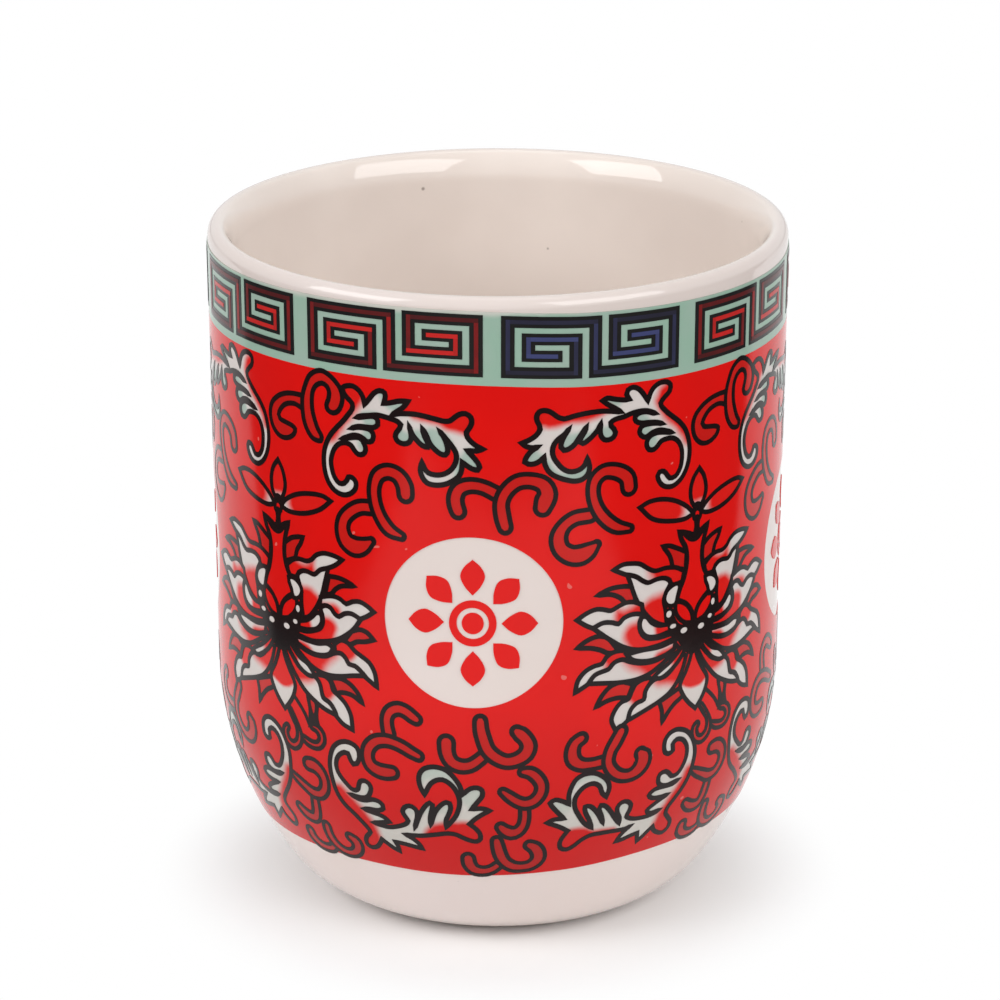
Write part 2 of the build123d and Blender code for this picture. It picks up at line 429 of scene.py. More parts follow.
def inner_skin(lip, skin, steps):
    """From a point below the lip down the inside to the middle of the floor, sunk by a skin."""
    inner_radius = shoulder_radius - body_wall
    reach = inner_radius - bowl_radius
    drop = shoulder_centre[1] - floor_level - bowl_radius
    bowl_centre = (shoulder_centre[0] + sqrt(reach**2 - drop**2), floor_level + bowl_radius)
    bowl_start = atan2(drop, bowl_centre[0] - shoulder_centre[0])
    lip_distance = hypot(lip[0] - shoulder_centre[0], lip[1] - shoulder_centre[1])
    to_lip = atan2(shoulder_centre[1] - lip[1], lip[0] - shoulder_centre[0])
    wall_end = to_lip + acos((inner_radius + skin) / lip_distance)
    bowl = arc(shoulder_centre, inner_radius + skin, wall_end, bowl_start, steps)
    straight = [
        (lip[0] + (bowl[0][0] - lip[0]) * n / steps, lip[1] + (bowl[0][1] - lip[1]) * n / steps)
        for n in range(steps)
    ]
    dish = arc(bowl_centre, bowl_radius + skin, bowl_start, pi / 2, steps)
    flat = [(dish[-1][0] * n / steps, floor_level - skin) for n in reversed(range(steps))]
    return [*straight, *bowl, *dish[1:], *flat]


def outer_skin(start, lift, steps):
    """Down the outside from a depth below the widest circle of the rim to the foot."""
    depths = np.linspace(start, wall_length + shoulder_length + belly_length, steps + 1)
    radius, level, _, _ = wall(depths, lift)
    return list(zip(radius.tolist(), level.tolist()))


def eased_lip(steps):
    """Over the lip as it is seen, from the inside to the outside."""
    slope = radians(lip_slope)
    shoulder = cup_height - lip_tip * (1 - sin(slope))
    foot = rim_level - (shoulder - lip_outside * sin(slope))
    outside = float(wall(foot)[0]) - lip_outside
    top = outside + (lip_outside - lip_tip) * cos(slope)
    inside = top + (lip_inside - lip_tip) * cos(slope)
    return [
        *arc((inside, shoulder - lip_inside * sin(slope)), lip_inside, -pi, slope - pi, steps),
        *arc((top, cup_height - lip_tip), lip_tip, slope - pi, -slope, steps)[1:],
        *arc((outside, shoulder - lip_outside * sin(slope)), lip_outside, -slope, 0, steps)[1:],
    ], foot


def clay_lip(skin, steps):
    """Over the lip of the clay below the glaze, a full round, from the inside to the outside."""
    inner, outer = rim_radius - rim_wall + skin, rim_radius - skin
    return arc(((inner + outer) / 2, rim_level), (outer - inner) / 2, -pi, 0, steps)


def turned(section, segments):
    """A closed section turned round the axis, with a single point where it meets it."""
    vertices, rings, faces = [], [], []
    for radius, level in section:
        if radius < tiny:
            rings.append([len(vertices)])
            vertices.append((0, 0, level))
            continue
        rings.append(range(len(vertices), len(vertices) + segments))
        for n in range(segments):
            turn = 2 * pi * n / segments
            vertices.append((radius * sin(turn), -radius * cos(turn), level))
    for low, high in zip(rings, [*rings[1:], rings[0]]):
        if len(low) == 1 and len(high) == 1:
            continue
        for n in range(segments):
            m = (n + 1) % segments
            if len(low) == 1:
                faces.append((low[0], high[m], high[n]))
            elif len(high) == 1:
                faces.append((low[n], low[m], high[0]))
            else:
                faces.append((low[n], low[m], high[m], high[n]))
    return vertices, faces


glaze_segments = 216
sharp_edge = 40.0


def glaze_coat():
    """The clear glaze over white clay, from the floor over the lip to the foot."""
    steps, lip_steps, down_steps = 24, 14, 96
    lip, lip_depth = eased_lip(lip_steps)
    clay = clay_lip(glaze_thickness, 2 * lip_steps)
    skin = [
        *reversed(inner_skin(lip[0], 0, steps)),
        *lip[1:],
        *outer_skin(lip_depth, 0, down_steps)[1:],
    ]
    back = [
        *reversed(inner_skin(clay[0], glaze_thickness, steps)),
        *clay[1:],
        *outer_skin(0, -glaze_thickness, down_steps)[1:],
    ]
    vertices, faces = turned([*back, *reversed(skin)], glaze_segments)
    piece = make_piece(
        "glaze_coat", vertices, faces, glaze_material("clear_glaze", glaze_white, glaze_grey),
        "clear_glaze", ("clear_glaze",),
    )
    piece.data.set_sharp_from_angle(angle=radians(sharp_edge))


# The drawing lies on the unrolled wall: x runs from the front to the right along the
# widest circle, y runs down from it. Curves are followed in steps of this length. In a
# closed outline, a point in square brackets is a corner. So many pairs of the key, and so
# many sheets of the flowers, go round the cup.
curve_step = 0.36
least_span = 1e-4
key_pairs, sheets_round = 9, 4
key_pitch = girth / key_pairs
sheet_width = girth / sheets_round


def around(knots, x):
    """A smooth closed curve round the cup through (place, depth) knots, read at x."""
    places = np.array([place for place, _ in knots])
    depths = np.array([depth for _, depth in knots])
    count = len(knots)
    x = np.mod(np.asarray(x, float) - places[0], girth) + places[0]
    after = np.searchsorted(places, x, side="right")
    ends = np.append(places, places[0] + girth)
    low = after - 1
    share = (x - ends[low]) / (ends[after] - ends[low])
    picks = [depths[(low + n) % count] for n in (-1, 0, 1, 2)]
    return 0.5 * (
        2 * picks[1]
        + (picks[2] - picks[0]) * share
        + (2 * picks[0] - 5 * picks[1] + 4 * picks[2] - picks[3]) * share**2
        + (3 * picks[1] - picks[0] - 3 * picks[2] + picks[3]) * share**3
    )


# Where the sheets of the transfer were laid by hand: the band's lower edge and the hem
band_knots = [
    (-40, 9.35), (-25, 9.0), (-10, 8.8), (0, 8.95), (10, 9.45), (25, 9.8), (40, 9.95),
    (60, 9.8), (85, 9.3), (110, 9.5), (135, 9.9), (160, 9.6),
]
hem_knots = [
    (-40, 72.25), (-20, 71.95), (-5, 72.15), (10, 71.55), (20, 70.85), (30, 70.55), (45, 70.45),
    (70, 71.15), (95, 71.95), (120, 71.55), (145, 71.45), (165, 72.05),
]
band_edge = 9.0
hem_edge = 71.0


def laid(x, y):
    """The depth on the cup of a point of the level sheet."""
    top, hem = around(band_knots, x), around(hem_knots, x)
    share = (np.asarray(y, float) - band_edge) / (hem_edge - band_edge)
    return np.where(share < 0, top + y - band_edge, top + share * (hem - top))


def level(points, away=0.0, axis=0.0):
    """Points drawn as they lie on the cup, counted from an axis of the drawing, put on the
    level sheet and then moved along it."""
    result = []
    for point in points:
        x, y, *rest = point
        x += axis
        top, hem = around(band_knots, x), around(hem_knots, x)
        flat = band_edge + (y - top) * (hem_edge - band_edge) / (hem - top)
        result.append(type(point)((x + away, float(flat), *rest)))
    return result


def smooth(points, closed):
    """A curve through points (x, y, half width), or (x, y) for none."""
    corners = [n for n, point in enumerate(points) if isinstance(point, list)]
    points = [(*point, 0.0) if len(point) == 2 else tuple(point) for point in points]
    if not corners:
        runs = [points]
    else:
        first = corners[0]
        points = points[first:] + points[:first + 1]
        stops = [corner - first for corner in corners] + [len(points) - 1]
        runs = [points[start:stop + 1] for start, stop in zip(stops, stops[1:])]
    whole = closed and len(runs) == 1
    result = [point for run in runs for point in spline(run, whole)]
    if not closed:
        result.append(points[-1])
    return np.array(result)


def spline(run, whole):
    """A centripetal curve through the points of a run, without its last point, or on round
    to the first where the run is the whole of a closed outline."""
    knots = [np.array(point, float) for point in run]
    if whole:
        knots = [knots[-1], *knots, *knots[:2]]
    else:
        knots = [2 * knots[0] - knots[1], *knots, 2 * knots[-1] - knots[-2]]
    result = []
    for a, b, c, d in zip(knots, knots[1:], knots[2:], knots[3:]):
        lengths = [np.linalg.norm((end - start)[:2]) for start, end in ((a, b), (b, c), (c, d))]
        spans = [max(length, least_span) ** 0.5 for length in lengths]
        t0, t1 = 0.0, spans[0]
        t2 = t1 + spans[1]
        t3 = t2 + spans[2]
        steps = max(1, int(round(lengths[1] / curve_step)))
        for k in range(steps):
            t = t1 + (t2 - t1) * k / steps
            ab = (t1 - t) / (t1 - t0) * a + (t - t0) / (t1 - t0) * b
            bc = (t2 - t) / (t2 - t1) * b + (t - t1) / (t2 - t1) * c
            cd = (t3 - t) / (t3 - t2) * c + (t - t2) / (t3 - t2) * d
            abc = (t2 - t) / (t2 - t0) * ab + (t - t0) / (t2 - t0) * bc
            bcd = (t3 - t) / (t3 - t1) * bc + (t - t1) / (t3 - t1) * cd
            result.append((t2 - t) / (t2 - t1) * abc + (t - t1) / (t2 - t1) * bcd)
    return result


def area(loop):
    x, y = loop[:, 0], loop[:, 1]
    return 0.5 * float(np.sum(x * np.roll(y, -1) - np.roll(x, -1) * y))


def wound(loop):
    """The loop with its inside on the left of its way."""
    return loop if area(loop) > 0 else loop[::-1]


def headed(ways):
    """Directions of length one."""
    return ways / (np.linalg.norm(ways, axis=1)[:, None] + trace)


# A grown outline's corner reaches no further than the growth over this
bluntest = 0.62


def grown(loop, reach):
    """A loop moved outwards by a reach, or inwards where it is negative, with sharp corners."""
    loop = wound(loop[:, :2])
    ahead, back = headed(np.roll(loop, -1, 0) - loop), headed(loop - np.roll(loop, 1, 0))
    middle = ahead + back
    size = np.linalg.norm(middle, axis=1)[:, None]
    middle = np.where(size > tiny, middle / np.maximum(size, tiny), ahead)
    stretch = 1 / np.maximum(np.sum(middle * ahead, axis=1), bluntest)
    normal = np.stack([middle[:, 1], -middle[:, 0]], 1)
    return loop + reach * stretch[:, None] * normal


# The thinnest half width of a stroke, and the least that still gets a round end
thinnest_stroke = 0.02
rounded_from = 0.12


def brushed(points, extra=0.0):
    """The outline of a stroke along points (x, y, half width), round at its ends."""
    path = smooth(points, False)
    along = headed(np.gradient(path[:, :2], axis=0))
    side = np.stack([along[:, 1], -along[:, 0]], 1)
    half = np.maximum(path[:, 2] + extra, thinnest_stroke)[:, None]
    right, left = path[:, :2] + side * half, path[:, :2] - side * half

    def cap(centre, start, radius):
        if radius < rounded_from:
            return []
        first = atan2(start[1] - centre[1], start[0] - centre[0])
        steps = max(3, int(pi * radius / curve_step))
        turns = [first + pi * k / steps for k in range(1, steps)]
        return [(centre[0] + radius * cos(a), centre[1] + radius * sin(a)) for a in turns]

    end = cap(path[-1, :2], right[-1], float(half[-1, 0]))
    start = cap(path[0, :2], left[0], float(half[0, 0]))
    return wound(np.array([*right, *end, *left[::-1], *start]))


class Drawing:
    """Closed shapes painted one over another on the unrolled wall."""

    def __init__(self):
        self.shapes = []

    def paint(self, colour, loop, **fields):
        """A shape of a colour. A field gives the mesh a value: a number, or (loop, soft
        width) for 1 inside that loop and 0 outside it."""
        self.shapes.append((colour, wound(np.asarray(loop, float)[:, :2]), fields))

    def fill(self, colour, outline):
        self.paint(colour, smooth(outline, True))

    def stroke(self, colour, spine, extra=0.0):
        self.paint(colour, brushed(spine, extra))

    def laid_again(self, away):
        """The same shapes, moved along the sheet and laid on the cup there."""
        for colour, loop, fields in self.shapes:
            moved = {
                key: value if isinstance(value, (int, float)) else [
                    (put(soft_loop, away), width) for soft_loop, width in value
                ]
                for key, value in fields.items()
            }
            yield colour, put(loop, away), moved


def put(loop, away):
    """A loop of the level sheet, moved along it and laid on the cup there."""
    x = loop[:, 0] + away
    return np.stack([x, laid(x, loop[:, 1])], 1)


def inside(points, loop):
    """Which points have the loop wound round them."""
    low, high = loop.min(0), loop.max(0)
    near = np.nonzero(np.all((points >= low) & (points <= high), axis=1))[0]
    turns = np.zeros(len(points), int)
    if not len(near):
        return turns > 0
    x, y = points[near, 0][:, None], points[near, 1][:, None]
    x0, y0 = loop[:, 0], loop[:, 1]
    x1, y1 = np.roll(x0, -1), np.roll(y0, -1)
    left = (x1 - x0) * (y - y0) - (x - x0) * (y1 - y0)
    up = (y0 <= y) & (y1 > y) & (left > 0)
    down = (y0 > y) & (y1 <= y) & (left < 0)
    turns[near] = up.sum(1) - down.sum(1)
    return turns > 0


def distance(points, loop):
    """How far points lie inside a loop; negative outside."""
    start, end = loop, np.roll(loop, -1, 0)
    along = end - start
    length = np.maximum(np.sum(along**2, 1), trace)
    best = np.full(len(points), far)
    for a, d, l in zip(start, along, length):
        t = np.clip(((points - a) @ d) / l, 0, 1)
        best = np.minimum(best, np.linalg.norm(points - a - t[:, None] * d, axis=1))
    return np.where(inside(points, loop), best, -best)


# The unrolled wall is cut a little beyond the print, on a grid that keeps it round, and on
# a finer one where a colour shades into another
wall_top, wall_foot = -3.0, 80.0
wall_grid, first_row = 1.9, 0.7
shade_grid = 0.36
weld = 1e-4


def shade_nodes(loop):
    """Points inside a loop, close enough to carry the shading of a colour."""
    low, high = loop.min(0), loop.max(0)
    nodes = np.array([
        (x + (shade_grid / 2 if round((y - low[1]) / shade_grid) % 2 else 0), y)
        for y in np.arange(low[1], high[1], shade_grid)
        for x in np.arange(low[0], high[0], shade_grid)
    ])
    return nodes[inside(nodes, loop)].tolist()


def triangles_of(shapes):
    """The wall cut along every outline: points on the unrolled wall, triangles between
    them, and for each triangle the shape that was painted there last, or -1."""
    half = girth / 2
    points, edges = [], []
    for _, loop, _ in shapes:
        first, count = len(points), len(loop)
        points += loop.tolist()
        edges += [(first + n, first + (n + 1) % count) for n in range(count)]
    for end in (-half, half):
        first = len(points)
        points += [(end, wall_top), (end, wall_foot)]
        edges.append((first, first + 1))
    columns = int(2 * half / wall_grid)
    for row in range(int(hem_edge / wall_grid) + 2):
        for n in range(columns):
            offset = 0.5 if row % 2 else 0.0
            points.append((-half + 2 * half * (n + offset) / columns, row * wall_grid + first_row))
    for _, loop, fields in shapes:
        if any(isinstance(value, list) and value for value in fields.values()):
            points += shade_nodes(loop)
    cut = delaunay_2d_cdt([Vector(point) for point in points], edges, [], 0, weld, False)
    places = np.array([tuple(place) for place in cut[0]])
    triangles = np.array([face for face in cut[2] if len(face) == 3])
    centres = places[triangles].mean(1)
    kept = np.abs(centres[:, 0]) < half
    triangles, centres = triangles[kept], centres[kept]
    owner = np.full(len(triangles), -1)
    for number, (_, loop, _) in enumerate(shapes):
        owner[inside(centres, loop)] = number
    return places, triangles, owner


def field_values(places, corners, value):
    """A field's value at the corners of triangles."""
    if isinstance(value, (int, float)):
        return np.full(len(corners), float(value))
    result = np.zeros(len(corners))
    for loop, width in value:
        spots, back = np.unique(corners, return_inverse=True)
        depth = distance(places[spots], wound(loop))
        result = np.maximum(result, np.clip(0.5 + depth / width, 0, 1)[back])
    return result


def on_wall(places, lift):
    """Points of the unrolled wall on the cup, lifted off the glaze, and their normals."""
    turn = places[:, 0] / rim_radius
    radius, height, out, up = wall(places[:, 1], lift)
    spots = np.stack([radius * np.sin(turn), -radius * np.cos(turn), height], 1)
    normals = np.stack([out * np.sin(turn), -out * np.cos(turn), up], 1)
    return spots, normals


def enamel_piece(cut, shapes, colour, name, lift, material, slot, replaces):
    """The closed coat of one colour: its face, its edges and its back in the glaze."""
    places, triangles, owner = cut
    mine = np.array([shape[0] == colour for shape in shapes] + [False])[owner]
    faces, owners = triangles[mine], owner[mine]
    fields = {}
    for number in np.unique(owners):
        rows = owners == number
        for key, value in shapes[number][2].items():
            values = field_values(places, faces[rows].ravel(), value)
            fields.setdefault(key, np.zeros(faces.shape))[rows] = values.reshape(-1, 3)
    used, flat = np.unique(faces, return_inverse=True)
    spots = places[used]
    # the two ends of the unrolled wall meet at the back
    seam = {}
    same = np.arange(len(used))
    for n in np.nonzero(np.abs(np.abs(spots[:, 0]) - girth / 2) < tiny)[0]:
        same[n] = seam.setdefault(round(float(spots[n, 1]), 3), n)
    faces = same[flat.reshape(-1, 3)]
    # the coat's edges: sides of a triangle that no other triangle shares
    sides = np.concatenate([faces[:, [0, 1]], faces[:, [1, 2]], faces[:, [2, 0]]])
    count = len(used)
    forward = sides[:, 0] * count + sides[:, 1]
    backward = sides[:, 1] * count + sides[:, 0]
    rim = np.nonzero(~np.isin(forward, backward))[0]
    edges = sides[rim]
    rim_points, rim_flat = np.unique(edges, return_inverse=True)
    rim_flat = rim_flat.reshape(-1, 2) + 2 * count
    quads = np.stack([rim_flat[:, 0], rim_flat[:, 1], edges[:, 1] + count, edges[:, 0] + count], 1)
    top, normals = on_wall(spots, lift)
    root, _ = on_wall(spots, coat_root)
    # a normal of nothing is left to Blender
    edge_normals = np.zeros((count + len(rim_points), 3))
    piece = make_piece(
        name,
        np.concatenate([top, root, top[rim_points]]).tolist(),
        faces[:, ::-1].tolist() + (faces + count).tolist() + quads.tolist(),
        material, slot, replaces,
        np.concatenate([normals, edge_normals]).tolist(),
    )
    rows, start = rim % len(faces), rim // len(faces)
    end = (start + 1) % 3
    for key in sorted(fields):
        values = fields[key]
        ends = np.stack([values[rows, column] for column in (start, end, end, start)], 1)
        data = np.concatenate([values[:, ::-1].ravel(), values.ravel(), ends.ravel()])
        attribute = piece.data.attributes.new(key, "FLOAT", "CORNER")
        attribute.data.foreach_set("value", data.astype(np.float32))


# Half the width of the dark lines, and how much wider a blush is than it is written
stroke_half = 0.3
scroll_half = 0.32
tendril_half = 0.29
leaf_half = 0.31
blush_spread = 1.9
plain = {"blush": 0.0, "tinge": 0.0}


def petal(drawing, outline, blush=(), colour="white", half=stroke_half, tinge=()):
    """A petal or leaf with a dark outline. Blush and tinge are loops that turn it red or
    green, each with the width over which it does so."""
    loop = smooth(outline, True)
    drawing.paint("outline", grown(loop, half))
    softs = {"blush": blush, "tinge": tinge} if colour == "white" else {}
    fields = {
        key: [(smooth(soft, True)[:, :2], width) for soft, width in loops]
        for key, loops in softs.items()
    }
    drawing.paint(colour, grown(loop, -half), **fields)


def spread(put_in, blushes):
    """Blushes put in their place at their full width."""
    return [(put_in(loop), width * blush_spread) for loop, width in blushes]


def oval(x, y, wide, high, sides):
    turns = np.linspace(0, 2 * pi, sides, endpoint=False)
    return np.stack([x + wide * np.cos(turns), y + high * np.sin(turns)], 1)


def placed(axis, away=0.0):
    """Puts points that are counted from an axis of the drawing on the level sheet."""
    return lambda points: level(points, away, axis)


def lotus_half(drawing, put_in, leaves, petals):
    """One side of the flower: leaves behind, then petals from the back to the front."""
    for outline in leaves:
        petal(drawing, put_in(outline), colour="tendril", half=leaf_half)
    for outline, blushes in petals:
        petal(drawing, put_in(outline), spread(put_in, blushes))


left_leaves = [
    [[-4.8, 30.35], (-3.8, 30.5), (-2.7, 31.0), [-1.2, 31.8], [-1.3, 34.0], [-3.3, 33.3],
     (-3.7, 31.9)],
    [[-13.5, 35.1], (-11.9, 34.5), (-10.4, 34.4), [-8.8, 34.6], [-8.4, 36.9], (-9.6, 36.7),
     (-10.5, 35.8), (-11.7, 35.2)],
    [[-15.9, 41.4], (-14.7, 40.6), (-13.3, 40.2), [-12.0, 40.5], [-10.6, 42.4], (-11.9, 42.5),
     (-12.9, 42.0), (-14.1, 41.6)],
    [[-13.5, 49.1], (-12.6, 47.6), (-11.6, 46.7), [-10.2, 46.3], [-8.6, 46.9], [-9.3, 48.5],
     (-10.7, 48.3), (-12.1, 48.5)],
    [[-4.45, 52.6], (-4.5, 51.2), [-4.9, 49.9], [-1.4, 48.6], (-1.3, 49.8), (-2.6, 50.6),
     (-3.6, 51.5)],
]
left_petals = [
    # the folded rim of the top petal, and the petal
    ([[-11.45, 32.2], (-10.2, 31.7), (-9.0, 31.75), (-7.9, 32.0), (-6.9, 32.7), (-5.9, 33.2),
      (-4.25, 33.15), (-2.8, 33.4), [-1.5, 34.1], [-1.8, 35.4], (-3.4, 35.4), (-3.7, 34.8),
      (-4.4, 34.4), (-5.5, 34.3), (-6.8, 34.5), (-7.6, 34.1), (-8.4, 33.5), (-9.6, 33.1)],
     [([(-6.5, 32.0), (-6.2, 34.5), (-4, 36), (0, 36), (0, 31.5)], 1.2)]),
    ([[-9.65, 33.0], (-8.4, 33.5), (-7.6, 34.1), (-6.8, 34.5), (-5.5, 34.3), (-4.4, 34.4),
      (-3.6, 35.1), (-4.2, 36.2), (-4.5, 37.2), (-4.25, 38.3), [-4.0, 40.4], (-5.1, 40.0),
      (-6.2, 39.3), (-7.2, 38.2), (-8.1, 36.9), (-8.7, 35.6), (-9.15, 34.3)],
     [([(-8.2, 38.0), (-7.1, 36.9), (-6.2, 36.5), (-5.0, 36.3), (-3.0, 36.3), (-2, 42),
        (-8, 42)], 1.0)]),
    # the second petal
    ([[-15.95, 37.9], (-14.7, 37.15), (-13.5, 36.8), (-12.6, 36.95), (-11.7, 37.2),
      (-10.7, 36.8), (-9.7, 36.5), (-8.65, 36.6), [-7.6, 37.1], [-7.4, 38.3], (-8.8, 38.1),
      (-10.0, 38.4), (-10.7, 39.0), (-11.4, 38.75), (-12.6, 38.6), [-13.8, 39.2],
      (-14.8, 38.7)],
     [([(-10.9, 37.2), (-11.2, 38.4), (-10.6, 40), (-6, 40), (-6, 36), (-9.8, 37.4)], 0.9)]),
    ([[-13.95, 39.1], (-12.6, 38.6), (-11.4, 38.75), (-10.7, 39.0), (-10.0, 38.4),
      (-8.8, 38.1), (-7.6, 38.4), (-7.9, 39.3), (-7.7, 40.5), (-6.9, 41.4), (-5.4, 41.7),
      [-3.0, 41.6], [-3.0, 42.3], (-4.95, 42.65), (-7.3, 42.75), (-8.8, 42.5), (-10.2, 41.9),
      (-11.4, 41.1), (-12.6, 40.2)],
     [([(-7.0, 38.6), (-8.2, 39.2), (-9.2, 39.4), (-9.9, 40.1), (-9.9, 41.2), (-9.3, 42.2),
        (-8, 44), (0, 44), (0, 40)], 0.9)]),
    # the drop in front of them
    ([(-7.4, 38.6), (-6.9, 38.75), (-6.2, 39.6), (-5.2, 40.15), [-3.4, 40.3], [-3.4, 41.2],
      (-5.4, 41.5), (-6.9, 41.2), (-7.75, 40.2), (-7.8, 39.2)],
     [([(-5.6, 39), (-5.7, 40.4), (-5.3, 42), (-2, 42), (-2, 39)], 0.5)]),
    # the folded rim of the wide petal, and the petal
    ([[-16.1, 47.0], (-15.7, 45.4), (-14.75, 44.35), (-13.6, 43.85), (-12.75, 43.7),
      (-12.25, 43.0), (-11.4, 42.5), (-10.4, 42.4), [-9.2, 42.6], [-9.2, 44.0],
      (-10.1, 43.55), (-11.2, 43.8), (-11.9, 44.5), (-12.7, 44.7), (-13.6, 45.1),
      [-14.2, 45.9]],
     [([(-12.9, 43.2), (-12.3, 43.9), (-12.5, 45), (-8, 45), (-8, 41.5), (-12, 41.5)], 0.8)]),
    ([[-14.5, 46.0], (-13.6, 45.0), (-12.7, 44.7), (-11.9, 44.5), (-11.2, 43.8),
      (-10.1, 43.55), (-9.1, 44.0), (-7.3, 44.5), (-5.4, 44.5), (-3.5, 43.9), [-2.4, 43.3],
      (-2.0, 43.9), (-3.5, 44.5), (-4.95, 45.3), (-6.4, 46.0), (-8.3, 46.4), (-10.4, 46.4),
      (-12.4, 46.2)],
     [([(-10.1, 43.0), (-9.6, 44.2), (-8.6, 45.1), (-7.4, 45.8), (-6.4, 46.8), (0, 46.8),
        (0, 42.5), (-9, 42.5)], 1.3)]),
    # the sliver over it
    ([[-9.6, 43.0], (-7.4, 42.85), (-4.95, 42.9), [-2.6, 42.5], [-2.8, 43.6], (-4.2, 44.1),
      (-5.9, 44.35), (-7.4, 44.25), (-8.8, 43.8)],
     [([(-5.9, 44.4), (-5.3, 43.6), (-4, 43.3), (-1, 43.0), (-1, 45), (-5.9, 45)], 0.6)]),
    # the folded rim of the low petal, and the petal
    ([[-10.95, 52.3], (-11.45, 51.0), (-11.0, 49.8), (-10.2, 48.95), (-9.2, 48.65),
      (-8.85, 47.9), (-8.3, 47.0), (-7.5, 46.6), [-6.4, 46.5], [-5.9, 46.9], (-6.6, 47.6),
      (-6.95, 48.3), (-7.1, 49.1), (-8.1, 49.4), (-8.9, 50.1), [-9.2, 51.3], (-10.0, 51.9)],
     [([(-9.6, 48.2), (-8.9, 49.2), (-8, 50), (-5, 49), (-5, 46), (-9, 46)], 0.7)]),
    ([[-9.3, 51.4], (-8.9, 50.1), (-8.1, 49.4), (-7.1, 49.1), (-6.95, 48.2), (-6.4, 47.4),
      (-5.6, 46.9), (-4.1, 46.8), (-2.9, 46.0), [-1.6, 44.6], [-0.9, 44.9], (-1.4, 46.4),
      (-2.2, 47.8), (-3.4, 49.0), (-4.95, 49.8), (-7.1, 50.6)],
     [([(-6.0, 46.4), (-5.5, 47.4), (-4.6, 47.8), (-3.4, 48.0), (-2.0, 48.4), (0, 48),
        (0, 44), (-5, 46)], 1.1)]),
    ([[-5.9, 46.6], (-4.9, 45.95), (-3.5, 45.2), (-2.2, 44.2), [-1.4, 43.4], [-1.2, 44.2],
      (-2.2, 45.4), (-3.6, 46.4), (-4.8, 46.9)],
     [([(-3.2, 44.6), (-2.9, 46.0), (-1, 46), (-1, 43)], 0.8)]),
]
right_leaves = [
    [[4.6, 30.2], (3.7, 30.35), (2.7, 30.7), [1.3, 31.7], [1.3, 34.0], [3.3, 33.1],
     (3.6, 32.0), (4.2, 31.1)],
    [[12.1, 34.8], (11.1, 34.4), (9.9, 34.15), [8.5, 34.2], [7.9, 36.6], (8.75, 36.4),
     (9.5, 35.6), (10.3, 35.1)],
    [[14.6, 41.1], (13.7, 40.3), (12.7, 40.1), [11.6, 40.5], [10.3, 42.2], (11.4, 42.2),
     (12.3, 41.7), (13.4, 41.5)],
    [[13.0, 49.4], (12.35, 48.2), (11.4, 47.3), (10.1, 46.8), [8.4, 47.0], [9.3, 48.8],
     (10.2, 48.5), (11.6, 48.6)],
]
